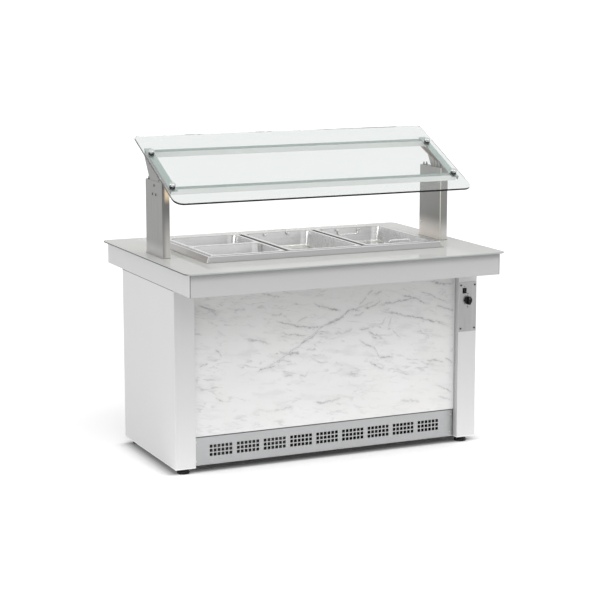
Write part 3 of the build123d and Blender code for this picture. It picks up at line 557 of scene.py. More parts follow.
MARBLE_VEINS = (
    Vein(((-33, 38), (-22, 43), (-13, 48), (-3, 55), (8, 60), (18, 63), (26, 66)), 4.5, 0.5),
    Vein(((24, 61), (36, 57), (48, 54), (60, 51)), 4, 0.4),
    Vein(((-58, 69), (-54, 67), (-48, 65)), 8, 0.6),
    Vein(((-30, 71), (-21, 69)), 6, 0.5),
    Vein(((-21, 71), (-15, 70)), 5, 0.45),
    Vein(((-7, 66), (-4, 64), (0, 63), (7, 61)), 5, 0.65),
    Vein(((-26, 62), (-20, 62)), 6, 0.4),
    Vein(((-24, 59), (-20, 58), (-12, 56), (-1, 55)), 5, 0.7),
    Vein(((-14, 58), (-9, 60)), 5, 0.4),
    Vein(((-22, 54), (-16, 53), (-8, 52)), 4.5, 0.55),
    Vein(((-13, 48), (-9, 50), (-3, 54)), 5, 0.65),
    Vein(((-42, 65), (-36, 65)), 6, 0.35),
    Vein(((-38, 53), (-32, 52), (-25, 50)), 7, 0.42),
    Vein(((-50, 50), (-47, 46)), 8, 0.5),
    Vein(((-21, 45), (-12, 45)), 7, 0.65),
    Vein(((-23, 43), (-16, 42)), 5, 0.55),
    Vein(((-10, 46), (-5, 46)), 5, 0.45),
    Vein(((-57, 43), (-53, 44)), 6, 0.42),
    Vein(((-32, 39), (-27, 40), (-25, 41), (-23, 40)), 5, 0.7),
    Vein(((-20, 36), (-15, 36)), 6, 0.4),
    Vein(((-13, 36), (-10, 35), (-8, 38)), 6, 0.42),
    Vein(((-50, 30), (-46, 28)), 5, 0.5),
    Vein(((-25, 22), (-15, 23)), 5, 0.34),
    Vein(((-7, 24), (-3, 23), (3, 24), (7, 25)), 7, 0.48),
    Vein(((-3, 55), (3, 57), (10, 61), (16, 61)), 6.5, 0.75),
    Vein(((16, 62), (20, 62), (25, 64)), 5.5, 0.65),
    Vein(((22, 62), (30, 63), (40, 64), (49, 61)), 5, 0.6),
    Vein(((23, 60), (33, 58), (44, 55), (51, 53), (59, 50)), 5, 0.66),
    Vein(((50, 55), (51, 60), (56, 59), (60, 57)), 6, 0.62),
    Vein(((34, 66), (40, 64)), 5, 0.6),
    Vein(((42, 67), (50, 64), (57, 61)), 5, 0.52),
    Vein(((47, 71), (54, 69), (60, 69)), 8, 0.62),
    Vein(((18, 67), (21, 69)), 7, 0.55),
    Vein(((21, 67), (25, 68)), 6, 0.5),
    Vein(((14, 63), (18, 66)), 6, 0.5),
    Vein(((12, 58), (17, 60)), 5.5, 0.48),
    Vein(((3, 53), (7, 52), (12, 53)), 7, 0.38),
    Vein(((14, 53), (20, 53)), 6, 0.5),
    Vein(((18, 52), (26, 48)), 5.5, 0.7),
    Vein(((20, 50), (23, 48)), 6, 0.6),
    Vein(((14, 49), (18, 46), (22, 44), (24, 41)), 6, 0.5),
    Vein(((25, 54), (27, 57)), 8, 0.42),
    Vein(((28, 52), (30, 57)), 12, 0.34),
    Vein(((30, 52), (34, 47)), 6, 0.38),
    Vein(((21, 45), (24, 40), (28, 40), (31, 39)), 6, 0.56),
    Vein(((19, 39), (22, 37), (27, 34)), 7, 0.56),
    Vein(((46, 37), (52, 36), (55, 35)), 5, 0.5),
    Vein(((55, 37), (59, 35)), 5.5, 0.5),
    Vein(((50, 26), (55, 24), (60, 22)), 5, 0.5),
    Vein(((52, 21), (59, 18)), 5, 0.42),
    Vein(((34, 21), (44, 19)), 7, 0.32),
)


@dataclass(frozen=True)
class MarbleLaminate(Finish):
    """White laminate printed with grey marble veins, with painted shade towards the top and a painted shadow
    along the bottom gap, edged in plain white.
    """

    veins: tuple[Vein, ...] = MARBLE_VEINS
    vein_colour: Colour = (0.26, 0.27, 0.28)
    core_step: Span = (0.9, 0.0)
    core_share: float = 0.75
    halo_step: Span = (3.2, 0.0)
    halo_share: float = 0.25
    span: float = 1200 * MM
    height: float = 800 * MM
    ramp_middle: float = 0.5
    lane_gap: float = 1.5
    most_stops: int = 32
    least_width: float = 0.003
    ragged_along: Pattern = Pattern(30.0, 5.0, 0.65)
    ragged_along_reach: float = 24 * MM
    ragged_up: Pattern = Pattern(22.0, 7.0, 0.7, 0.6)
    ragged_up_reach: float = 38 * MM
    knots: Pattern = Pattern(62.0, 4.0, 0.6)
    knot_step: Span = (0.34, 0.68)
    knot_least: float = 0.5
    knot_gain: float = 0.8
    bedding_stretch: Direction = (0.3, 1.0, 1.0)
    bedding_tilt: float = math.radians(-8)
    level: Pattern = Pattern(30.0, 6.0, 0.62, 0.3)
    level_step: Span = (0.5, 0.68)
    level_share: float = 0.13
    hairs: Pattern = Pattern(52.0, 7.0, 0.66, 0.9)
    hair_step: Span = (0.52, 0.66)
    hair_share: float = 0.38
    patches: Pattern = Pattern(8.0, 3.0)
    patch_step: Span = (0.36, 0.62)
    streak_step: Span = (200 * MM, 420 * MM)
    low_streaks: float = 0.6
    ground: Colour = (0.94, 0.94, 0.94)
    warm_ground: Colour = (0.925, 0.92, 0.907)
    warmth: Pattern = Pattern(3.4, 3.0)
    warmth_step: Span = (0.45, 0.7)
    clouds: Pattern = Pattern(6.0, 5.0, 0.6)
    cloud_stretch: Direction = (0.5, 1.0, 1.0)
    cloud_step: Span = (0.3, 0.75)
    cloud_share: float = 0.35
    cloud_dimming: float = 0.86
    # Painted shade, growing towards the top under the apron.
    top_shade: Colour = (0.6, 0.6, 0.6)
    top_shade_step: Span = (400 * MM, 650 * MM)
    top_shade_share: float = 0.4
    edging: Colour = (0.9, 0.9, 0.9)
    edging_start: float = 591.5 * MM
    # Painted shadow along the bottom edge, in the gap above the grille.
    gap_shadow: Colour = (0.12, 0.12, 0.12)
    gap_shadow_top: float = 145.5 * MM
    border_fade: float = 1.0 * MM
    roughness: float = 0.3
    roughness_reach: float = 0.1
    wear: Pattern = Pattern(30.0, 3.0)
    grain: Pattern = Pattern(900.0)
    grain_depth: float = 0.008 * MM

    def lanes(self) -> list[list[Vein]]:
        """Sort the veins into lanes, in each of which one vein follows another from left to right.

        Returns:
            The lanes.
        """
        lanes: list[list[Vein]] = []
        for vein in sorted(self.veins, key=lambda one: one.run[0][0]):
            for lane in lanes:
                stops = sum(len(one.knots()) for one in lane) + len(vein.knots())
                if lane[-1].run[-1][0] + self.lane_gap < vein.run[0][0] and stops <= self.most_stops:
                    lane.append(vein)
                    break
            else:
                lanes.append([vein])
        return lanes

    def lane_mask(self, graph: Graph, lane: list[Vein], along: Signal, height: Signal) -> Signal:
        """Make the mask of one lane's veins.

        A ramp along the panel carries the veins' height, width and weight.

        Args:
            graph: The graph to write into.
            lane: The veins, from left to right.
            along: The place along the panel, from 0 to 1.
            height: The height over the floor, as a share of the ramp's reach.

        Returns:
            The mask, between 0 and the veins' weights.
        """
        stops = [
            (
                self.ramp_middle + x * CM / self.span,
                (z * CM / self.height, vein.width * MM / self.height, 0.0, weight),
            )
            for vein in lane
            for x, z, weight in vein.knots()
        ]
        ramp = graph.add("ValToRGB", {"stops": stops}, {"Fac": along})
        line, width, _ = graph.parts(graph.out(ramp, "Color"))
        gap = abs(height - line) / width.at_least(self.least_width)
        core = gap.ramp(*self.core_step) * self.core_share
        halo = gap.ramp(*self.halo_step) * self.halo_share
        return (core + halo) * graph.out(ramp, "Alpha")

    def printed_veins(self, graph: Graph, place: Signal) -> Signal:
        """Make the mask of all the veins, ragged and knotted.

        Args:
            graph: The graph to write into.
            place: The Object coordinates.

        Returns:
            The mask.
        """
        x, _, z = graph.parts(place)
        ragged_x = graph.noise(place, self.ragged_along).about(x, self.ragged_along_reach)
        ragged_z = graph.noise(place, self.ragged_up).about(z, self.ragged_up_reach)
        along = ragged_x / self.span + self.ramp_middle
        height = ragged_z / self.height
        masks = [self.lane_mask(graph, lane, along, height) for lane in self.lanes()]
        drawn = masks[0]
        for mask in masks[1:]:
            drawn = drawn.at_least(mask)
        knots = graph.noise(place, self.knots).ramp(*self.knot_step)
        return drawn * (self.knot_least + self.knot_gain * knots)

    def streaks(self, graph: Graph, place: Signal) -> Signal:
        """Make the mask of the faint level streaks between the veins, fainter near the floor.

        Args:
            graph: The graph to write into.
            place: The Object coordinates.

        Returns:
            The mask.
        """
        bedding = graph.stretched(place, self.bedding_stretch, (0.0, self.bedding_tilt, 0.0))
        level = graph.noise(bedding, self.level).ramp(*self.level_step) * self.level_share
        patches = graph.noise(place, self.patches).ramp(*self.patch_step)
        hairs = graph.noise(bedding, self.hairs).ramp(*self.hair_step) * patches * self.hair_share
        rise = graph.parts(place)[2].ramp(*self.streak_step)
        return (level + hairs) * (self.low_streaks + (1.0 - self.low_streaks) * rise)

    def shader(self, graph: Graph) -> Signal:
        """Make the laminate's nodes.

        Args:
            graph: The graph to write into.

        Returns:
            The laminate's shader.
        """
        place = graph.place()
        x, _, z = graph.parts(place)
        warmth = graph.noise(place, self.warmth).ramp(*self.warmth_step)
        ground = graph.blend(warmth, self.ground, self.warm_ground)
        clouds = graph.noise(graph.stretched(place, self.cloud_stretch), self.clouds).ramp(*self.cloud_step)
        clouded = graph.blend(clouds * self.cloud_share, ground, dimmed(self.ground, self.cloud_dimming))
        # Painted shade from the apron's overhang, growing towards the top.
        top_shaded = graph.blend(z.ramp(*self.top_shade_step) * self.top_shade_share, clouded, self.top_shade)
        veins = self.printed_veins(graph, place).at_least(self.streaks(graph, place))
        marble = graph.blend(veins, top_shaded, self.vein_colour)
        edge = abs(x).ramp(self.edging_start, self.edging_start + self.border_fade)
        # Painted shadow of the gap between the panel and the grille.
        gap_shadow = z.ramp(self.gap_shadow_top, self.gap_shadow_top - self.border_fade)
        return graph.principled(
            {
                "Base Color": graph.blend(gap_shadow, graph.blend(edge, marble, self.edging), self.gap_shadow),
                "Roughness": graph.noise(place, self.wear).about(self.roughness, self.roughness_reach),
                "Normal": graph.bump(graph.noise(place, self.grain), self.grain_depth),
            }
        )


@dataclass(frozen=True)
class BackPaintedGlass(Finish):
    """Pale glass painted on its underside, with polished edges; the end edges carry painted shade.

    The paint carries painted light: paler along the long sides and darker at the ends.
    """

    face: Colour
    edge: Colour
    shaded_end_edge: Colour
    edge_top: float
    edge_fade: float = 0.8 * MM
    end_edge_step: Span = (0.5, 0.9)
    # Painted light: these gains make the paint paler along the long sides and darker at the ends.
    side_highlight_gain: float = 1.1
    side_step: Span = (250 * MM, 300 * MM)
    end_shade_gain: float = 0.97
    end_step: Span = (500 * MM, 600 * MM)
    tone: Pattern = Pattern(2.2, 3.0)
    tone_loss: float = 0.04
    roughness: float = 0.3
    roughness_reach: float = 0.1
    wear: Pattern = Pattern(9.0, 4.0)
    mirror: float = 0.5
    mirror_roughness: float = 0.02

    def shader(self, graph: Graph) -> Signal:
        """Make the glass plate's nodes.

        Args:
            graph: The graph to write into.

        Returns:
            The plate's shader.
        """
        place = graph.place()
        x, y, z = graph.parts(place)
        # Painted light: paler along the long sides, darker towards the ends.
        sides = graph.blend(abs(y).ramp(*self.side_step), self.face, dimmed(self.face, self.side_highlight_gain))
        painted = graph.blend(abs(x).ramp(*self.end_step), sides, dimmed(self.face, self.end_shade_gain))
        face = graph.blend(graph.noise(place, self.tone) * self.tone_loss, painted, BLACK)
        # Painted shade on the end edges, which are much darker than the long edges.
        endways = graph.looking(ALONG_X).ramp(*self.end_edge_step)
        rim = graph.blend(endways, self.edge, self.shaded_end_edge)
        edge = z.ramp(self.edge_top, self.edge_top - self.edge_fade)
        return graph.principled(
            {
                "Base Color": graph.blend(edge, face, rim),
                "Roughness": graph.noise(place, self.wear).about(self.roughness, self.roughness_reach),
                "Specular IOR Level": 0.0,
                "Coat Weight": self.mirror,
                "Coat Roughness": self.mirror_roughness,
                "Coat IOR": GLASS_IOR,
            }
        )


@dataclass(frozen=True)
class ClearGlass(Finish):
    """Clear sheet glass, pale green through its faces and dark green in its polished edges."""

    face: Colour
    edge: Colour
    across: Direction
    ground_edge_start: float
    ground_edge_fade: float = 8 * MM

    def shader(self, graph: Graph) -> Signal:
        """Make the sheet glass's nodes, which let a lamp's light straight through.

        Args:
            graph: The graph to write into.

        Returns:
            The glass's shader.
        """
        rim = graph.looking(self.across).ramp(*reversed(FACING_STEP))
        depth = graph.parts(graph.place())[1]
        ground_edge = depth.ramp(self.ground_edge_start, self.ground_edge_start + self.ground_edge_fade)
        edge = graph.blend(ground_edge, self.edge, self.face)
        glass = graph.principled(
            {
                "Base Color": graph.blend(rim, self.face, edge),
                "Roughness": 0.0,
                "IOR": GLASS_IOR,
                "Transmission Weight": 1.0,
            }
        )
        see_through = graph.out(graph.add("BsdfTransparent", {}, {"Color": self.face}))
        from_lamp = graph.out(graph.add("LightPath"), "Is Shadow Ray")
        return graph.out(graph.add("MixShader", {}, {0: from_lamp, 1: glass, 2: see_through}))


@dataclass(frozen=True)
class BrushedMetal(Finish):
    """Metal with fine streaks along its grain."""

    colour: Colour
    grain: Axis
    roughness: float = 0.34
    streak_depth: float = 0.012 * MM
    contrast: float = 0.12
    stretch: float = 0.012
    streaks: Pattern = Pattern(900.0, 3.0, 0.6)
    streak_share: float = 0.6
    bands: Pattern = Pattern(60.0)
    tone_step: Span = (0.3, 0.7)
    bright_share: float = 0.5
    smudges: Pattern = Pattern(11.0, 4.0, 0.6)
    tone_reach: float = 0.16
    smudge_reach: float = 0.1

    def toned(self, graph: Graph, place: Signal, metal: Signal) -> Signal:
        """Return the metal's colour with its local tones; plain metal has none."""
        return metal

    def shader(self, graph: Graph) -> Signal:
        """Make the brushed metal's nodes.

        Args:
            graph: The graph to write into.

        Returns:
            The metal's shader.
        """
        place = graph.place()
        scale = [1.0, 1.0, 1.0]
        scale[self.grain.value] = self.stretch
        drawn = graph.stretched(place, scale)
        streaks = graph.noise(drawn, self.streaks)
        bands = graph.noise(drawn, self.bands)
        smudges = graph.noise(place, self.smudges)
        tone = streaks * self.streak_share + bands * (1.0 - self.streak_share)
        dark = dimmed(self.colour, 1.0 - self.contrast)
        bright = dimmed(self.colour, 1.0 + self.bright_share * self.contrast)
        metal = graph.blend(tone.ramp(*self.tone_step), dark, bright)
        worn = smudges.about(tone.about(self.roughness, self.tone_reach), self.smudge_reach)
        return graph.principled(
            {
                "Base Color": self.toned(graph, place, metal),
                "Roughness": worn,
                "Metallic": 1.0,
                "Normal": graph.bump(streaks, self.streak_depth),
            }
        )


@dataclass(frozen=True)
class PostSteel(BrushedMetal):
    """Brushed steel of the posts with painted light: painted shade on the faces, painted reflections paler at
    the foot, painted lamp light near the top and a painted highlight at the fold.

    Steps are measured from the face, foot or top that they lie near, left_step from the table's middle.
    """

    # These colours are painted light: the darker tones are painted shade, the paler ones painted reflections,
    # the warm one painted lamp light and the last a painted highlight.
    shaded_tone: Colour = (0.24, 0.238, 0.23)
    dark: Colour = (0.17, 0.168, 0.162)
    pale: Colour = (0.95, 0.9, 0.86)
    front_reflection: Colour = (0.68, 0.665, 0.645)
    outer_foot_reflection: Colour = (0.5, 0.495, 0.49)
    painted_lamp_light: Colour = (0.95, 0.74, 0.52)
    bright: Colour = (0.95, 0.95, 0.78)
    foot: float = 850 * MM
    top: float = 1157 * MM
    outer_face: float = 652.5 * MM
    front_face: float = -100 * MM
    left_step: Span = (0.0, -100 * MM)
    inward_step: Span = (-0.2 * MM, -0.6 * MM)
    inward_share: float = 0.9
    front_step: Span = (1.0 * MM, 0.4 * MM)
    foot_step: Span = (105 * MM, 15 * MM)
    far_rise: Span = (110 * MM, 0.0)
    near_rise: Span = (215 * MM, 0.0)
    outer_rise: Span = (70 * MM, 0.0)
    across_step: Span = (2 * MM, 20 * MM)
    across_least: float = 0.35
    lamp_light_step: Span = (-91 * MM, -50 * MM)
    lamp_light_inset: Span = (6 * MM, 17 * MM)
    lamp_light_share: float = 0.85
    fold_step: Span = (11 * MM, 2 * MM)
    fold_share: float = 0.8

    def front_steel(self, graph: Graph, x: Signal, z: Signal, left: Signal) -> Signal:
        """Make the painted shade of the front faces, with a painted reflection growing paler towards the
        plate.

        Args:
            graph: The graph to write into.
            x: The place along the table.
            z: The height.
            left: 1 on the left post.

        Returns:
            The front faces' colour.
        """
        far_rise = z.ramp(*shifted(self.far_rise, self.foot))
        near_rise = z.ramp(*shifted(self.near_rise, self.foot))
        inset = x.ramp(*shifted(self.across_step, -self.outer_face))
        across = inset * (1.0 - self.across_least) + self.across_least
        rise = far_rise + (near_rise * across - far_rise) * left
        # The fronts: painted shade, darker on the left post, rising to a painted reflection near the plate.
        return graph.blend(rise, graph.blend(left, self.shaded_tone, self.dark), self.front_reflection)

    def toned(self, graph: Graph, place: Signal, metal: Signal) -> Signal:
        """Add the painted shade and reflections near the foot, the painted lamp light and the painted
        highlight at the fold.

        Args:
            graph: The graph to write into.
            place: The Object coordinates.
            metal: The plain steel's colour.

        Returns:
            The posts' colour.
        """
        x, y, z = graph.parts(place)
        left = x.ramp(*self.left_step)
        inward = abs(x).ramp(*shifted(self.inward_step, self.outer_face))
        front = y.ramp(*shifted(self.front_step, self.front_face))
        foot = z.ramp(*shifted(self.foot_step, self.foot))
        # Painted shade on the inner sides, with a painted reflection at the foot.
        side_steel = graph.blend(foot, self.shaded_tone, self.pale)
        inner = graph.blend(front, side_steel, self.front_steel(graph, x, z, left))
        # Painted reflection on the outer faces, paler at the foot.
        outer = graph.blend(z.ramp(*shifted(self.outer_rise, self.foot)), metal, self.outer_foot_reflection)
        steel = graph.blend(inward * self.inward_share, outer, inner)
        # Painted lamp light near the top of the left post's front.
        under_lamp = z.ramp(*shifted(self.lamp_light_step, self.top)) * left
        inset = x.ramp(*shifted(self.lamp_light_inset, -self.outer_face))
        lamp_lit = graph.blend(under_lamp * inset * front * self.lamp_light_share, steel, self.painted_lamp_light)
        # Painted highlight along the fold of the right post.
        near_fold = y.ramp(*shifted(self.fold_step, self.front_face))
        fold = near_fold * (1.0 - left) * inward * (1.0 - front)
        return graph.blend(fold * self.fold_share, lamp_lit, self.bright)


@dataclass(frozen=True)
class FacedSteel(BrushedMetal):
    """Brushed steel with painted light: another tone on the faces that look one way."""

    turned: Colour = (0.5, 0.5, 0.5)
    way: Direction = ALONG_X
    way_step: Span = (0.35, 0.65)

    def toned(self, graph: Graph, place: Signal, metal: Signal) -> Signal:
        """Return the steel's colour with the painted light tone where a face looks along the way."""
        return graph.blend(graph.looking(self.way).ramp(*self.way_step), metal, self.turned)


@dataclass(frozen=True)
class BrightMetal(Finish):
    """Smooth plated or polished metal with faint smears."""

    colour: Colour
    roughness: float = 0.12
    metallic: float = 1.0
    smears: Pattern = Pattern(160.0, 3.0, 0.6)
    smear_middle: float = 0.4
    darkest: float = 0.9
    roughness_reach: float = 0.12

    def shader(self, graph: Graph) -> Signal:
        """Make the bright metal's nodes.

        Args:
            graph: The graph to write into.

        Returns:
            The metal's shader.
        """
        smears = graph.noise(graph.place(), self.smears)
        return graph.principled(
            {
                "Base Color": graph.blend(smears, dimmed(self.colour, self.darkest), self.colour),
                "Roughness": smears.about(self.roughness, self.roughness_reach, self.smear_middle),
                "Metallic": self.metallic,
            }
        )


@dataclass(frozen=True)
class ScrewPlating(BrightMetal):
    """Plating of the small screws, blacked on those of the control plate."""

    blacked: Colour = (0.015, 0.015, 0.015)
    blacked_front: float = -306 * MM
    blacked_fade: float = 1.0 * MM
    blacked_roughness: float = 0.2

    def shader(self, graph: Graph) -> Signal:
        """Make the screws' nodes.

        Args:
            graph: The graph to write into.

        Returns:
            The screws' shader.
        """
        place = graph.place()
        black = graph.parts(place)[1].ramp(self.blacked_front + self.blacked_fade, self.blacked_front)
        smears = graph.noise(place, self.smears)
        plating = graph.blend(smears, dimmed(self.colour, self.darkest), self.colour)
        worn = self.roughness + self.roughness_reach * smears
        return graph.principled(
            {
                "Base Color": graph.blend(black, plating, self.blacked),
                "Roughness": worn + self.blacked_roughness * black,
                "Metallic": 1.0 - black,
            }
        )


@dataclass(frozen=True)
class SpangledZinc(Finish):
    """Galvanised sheet with its frost of zinc crystals."""

    colour: Colour
    crystal_scale: float = 90.0
    darkest: float = 0.8
    brightest: float = 1.1
    roughness: float = 0.42
    roughness_reach: float = 0.16
    metallic: float = 0.9

    def shader(self, graph: Graph) -> Signal:
        """Make the galvanised sheet's nodes.

        Args:
            graph: The graph to write into.

        Returns:
            The sheet's shader.
        """
        crystals = graph.parts(graph.cells(graph.place(), self.crystal_scale))[0]
        dark = dimmed(self.colour, self.darkest)
        bright = dimmed(self.colour, self.brightest)
        return graph.principled(
            {
                "Base Color": graph.blend(crystals, dark, bright),
                "Roughness": crystals.about(self.roughness, self.roughness_reach),
                "Metallic": self.metallic,
            }
        )


@dataclass(frozen=True)
class MouldedPlastic(Finish):
    """Moulded plastic or rubber with a fine spark-eroded texture."""

    colour: Colour
    roughness: float = 0.45
    grain: float = 1800.0
    grain_depth: float = 0.015 * MM
    gloss: float = 0.5
    wear: Pattern = Pattern(60.0, 3.0)
    darkest: float = 0.85
    brightest: float = 1.1
    roughness_reach: float = 0.14

    def shader(self, graph: Graph) -> Signal:
        """Make the plastic's nodes.

        Args:
            graph: The graph to write into.

        Returns:
            The plastic's shader.
        """
        place = graph.place()
        wear = graph.noise(place, self.wear)
        dark = dimmed(self.colour, self.darkest)
        bright = dimmed(self.colour, self.brightest)
        return graph.principled(
            {
                "Base Color": graph.blend(wear, dark, bright),
                "Roughness": wear.about(self.roughness, self.roughness_reach),
                "Specular IOR Level": self.gloss,
                "Normal": graph.bump(graph.noise(place, Pattern(self.grain)), self.grain_depth),
            }
        )


@dataclass(frozen=True)
class LitDiffuser(Finish):
    """Opal plastic that glows warm, a little less at its pores."""

    colour: Colour
    strength: float
    unlit: Colour = (0.9, 0.87, 0.8)
    roughness: float = 0.5
    pores: Pattern = Pattern(400.0)
    darkest: float = 0.94

    def shader(self, graph: Graph) -> Signal:
        """Make the glowing diffuser's nodes.

        Args:
            graph: The graph to write into.

        Returns:
            The diffuser's shader.
        """
        pores = graph.noise(graph.place(), self.pores)
        return graph.principled(
            {
                "Base Color": self.unlit,
                "Roughness": self.roughness,
                "Emission Color": graph.blend(pores, dimmed(self.colour, self.darkest), self.colour),
                "Emission Strength": self.strength,
            }
        )


@dataclass(frozen=True)
class WireSheaths(Finish):
    """Soft sheaths of three wires that stand side by side along X."""

    left: Colour
    middle: Colour
    right: Colour
    left_end: float
    middle_end: float
    end_fade: float = 0.1 * MM
    dust: Pattern = Pattern(120.0, 3.0)
    dust_colour: Colour = (0.3, 0.29, 0.27)
    dust_share: float = 0.25
    roughness: float = 0.42
    roughness_reach: float = 0.2

    def shader(self, graph: Graph) -> Signal:
        """Make the sheaths' nodes.

        Args:
            graph: The graph to write into.

        Returns:
            The sheaths' shader.
        """
        place = graph.place()
        x = graph.parts(place)[0]
        past_left = x.ramp(self.left_end - self.end_fade, self.left_end)
        past_middle = x.ramp(self.middle_end - self.end_fade, self.middle_end)
        colour = graph.blend(past_middle, graph.blend(past_left, self.left, self.middle), self.right)
        dust = graph.noise(place, self.dust)
        return graph.principled(
            {
                "Base Color": graph.blend(dust * self.dust_share, colour, self.dust_colour),
                "Roughness": dust.about(self.roughness, self.roughness_reach),
            }
        )


GREY_STEEL: Colour = (0.46, 0.46, 0.455)
PALE_STEEL: Colour = (0.43, 0.43, 0.43)

CASING_PAINT = HemmedPaint("casing_paint", (0.79, 0.79, 0.79), 0.38)
APRON_LAMINATE = SatinPaint("apron_laminate", (0.73, 0.73, 0.73), 0.42)
# Painted shade: the front and rear aprons' laminate is a little darker than that of the end aprons.
APRON_BANDED = BandedLaminate("apron_laminate_banded", (0.715, 0.715, 0.715), 0.42)
BOARD_FACE = SatinPaint("board_face", (0.7, 0.69, 0.67), 0.6)
MARBLE = MarbleLaminate("marble_laminate")
# The plate's end edge colour is painted shade.
PLATE_GLASS = BackPaintedGlass(
    "plate_glass",
    face=(0.64, 0.64, 0.625),
    edge=(0.6, 0.64, 0.62),
    shaded_end_edge=(0.13, 0.14, 0.135),
    edge_top=849.6 * MM,
)
CANOPY_SLOPE = math.radians(25.2)
CANOPY_ACROSS: Direction = (0.0, -math.sin(CANOPY_SLOPE), math.cos(CANOPY_SLOPE))
CANOPY_GLASS = ClearGlass(
    "canopy_sheet_glass",
    face=(0.77, 0.797, 0.787),
    edge=(0.03, 0.1, 0.08),
    across=CANOPY_ACROSS,
    ground_edge_start=150 * MM,
)
GRILLE_STEEL = BrushedMetal(
    "grille_steel_brushed_along_x", (0.5, 0.505, 0.51), Axis.X, 0.42, 0.004 * MM, contrast=0.04
)
# Painted light: the collar's faces that look along X take a warmer tone.
COLLAR_STEEL = FacedSteel("collar_steel_brushed_along_x", PALE_STEEL, Axis.X, turned=(0.44, 0.43, 0.415))
DIVIDER_STEEL = BrushedMetal("divider_steel_brushed_along_y", GREY_STEEL, Axis.Y)
# The posts' tones are painted light and shade.
POST_STEEL = PostSteel("post_steel_brushed_upright", (0.28, 0.28, 0.275), Axis.Z, 0.42)
# Painted light: the bracket faces that look across the glass take a pale green tone.
BRACKET_STEEL = FacedSteel(
    "bracket_steel_brushed_upright",
    (0.27, 0.27, 0.265),
    Axis.Z,
    0.4,
    turned=(0.7, 0.8, 0.77),
    way=CANOPY_ACROSS,
)
CONTROL_STEEL = BrushedMetal("control_plate_steel", (0.4, 0.4, 0.4), Axis.Z, 0.4)
# The rails' upper colour is painted shade and their emission is a painted glow.
RAIL_COAT = RailCoat(
    "rail_silver_coat", (0.95, 0.96, 0.95), upper=(0.48, 0.57, 0.54), across=CANOPY_ACROSS, lit=0.34
)
PAN_STEEL = BrushedMetal("pan_steel", (0.7, 0.7, 0.7), Axis.X, 0.3, 0.004 * MM)
CHROME = BrightMetal("bright_steel_plating", (0.66, 0.67, 0.67), 0.1)
BOLT_STEEL = BrightMetal("dull_bolt_steel", (0.15, 0.15, 0.15), 0.3)
SCREWS = ScrewPlating("small_screw_plating", (0.7, 0.7, 0.7), 0.14)
WIRE_STEEL = BrightMetal("polished_wire", (0.96, 0.96, 0.96), 0.25, metallic=0.4)
# Painted highlight: the collar's lip is nearly white, standing for the glint along the collar's top edge.
LIP_HIGHLIGHT = BrightMetal("lip_painted_highlight", (0.97, 0.97, 0.97), 0.3, metallic=0.15)
BLACK_PLASTIC = MouldedPlastic("black_moulding", (0.007, 0.007, 0.007), 0.5, gloss=0.25)
FOOT_PLASTIC = MouldedPlastic("foot_moulding", (0.009, 0.009, 0.009), 0.55, gloss=0.25)
RUBBER = MouldedPlastic("washer_rubber", (0.05, 0.05, 0.05), 0.7)
# Painted shadow: a dark strip that stands for the shadow line under each apron.
SHADOW_STRIP = MouldedPlastic("casing_shadow_strip", (0.12, 0.115, 0.11), 0.7)
SEALANT = MouldedPlastic("clear_grey_sealant", (0.36, 0.35, 0.33), 0.35)
FOAM = MouldedPlastic("insulating_foam", (0.7, 0.6, 0.32), 0.9, grain=500.0, grain_depth=0.4 * MM)
# Painted shade: the galvanised sheet is darkened nearly to black, as it lies in the dark inside the table.
SHADED_ZINC = SpangledZinc("galvanised_sheet_shaded", (0.1, 0.102, 0.105))
ENAMEL = MouldedPlastic("black_enamel_coat", (0.02, 0.02, 0.02), 0.25, grain=500.0)
ALUMINIUM = BrushedMetal("drawn_aluminium", (0.62, 0.63, 0.64), Axis.X, 0.4)
COPPER = BrushedMetal("drawn_copper", (0.34, 0.16, 0.09), Axis.X, 0.36)
# Dark grey finish of the condenser fins and fan blade.
DARK_FINS = BrushedMetal("dark_fins", (0.12, 0.12, 0.12), Axis.X, 0.5)
DRAIN_PLASTIC = MouldedPlastic("grey_drain_pipe", (0.26, 0.26, 0.27), 0.5)
LAMP_GLOW = LitDiffuser("lamp_glow", (1.0, 0.86, 0.64), strength=7.0)
LAMP_LEADS = WireSheaths(
    "lamp_lead_sheaths",
    left=(0.42, 0.26, 0.07),
    middle=(0.02, 0.02, 0.02),
    right=(0.22, 0.03, 0.03),
    left_end=632 * MM,
    middle_end=639 * MM,
)
GREY_PRINT = MouldedPlastic("grey_print", (0.3, 0.3, 0.3), 0.5)
BLACK_PRINT = MouldedPlastic("black_print", (0.02, 0.02, 0.02), 0.5)


def dress(finish: Finish, *nodes: str) -> None:
    """Give CAD nodes a finish.

    Args:
        finish: The finish.
        nodes: The names of the nodes.
    """
    for name in nodes:
        node = bpy.data.objects[name]
        if not node.material_slots:
            node.data.materials.append(None)
        for slot in node.material_slots:
            slot.material = finish.material()
        LOG.info("dressed %s in %s", name, finish.name)


def in_scene(name: str, data: bpy.types.Mesh | bpy.types.Light | bpy.types.Camera) -> bpy.types.Object:
    """Make an object and link it to the scene.

    Args:
        name: The object's name.
        data: Its mesh, light or camera.

    Returns:
        The new object.
    """
    made = bpy.data.objects.new(name, data)
    bpy.context.scene.collection.objects.link(made)
    return made


def as_mesh(name: str, mesh: bmesh.types.BMesh) -> bpy.types.Mesh:
    """Turn a bmesh into a mesh, and free it.

    Args:
        name: The mesh's name.
        mesh: The bmesh.

    Returns:
        The new mesh.
    """
    data = bpy.data.meshes.new(name)
    mesh.to_mesh(data)
    mesh.free()
    return data


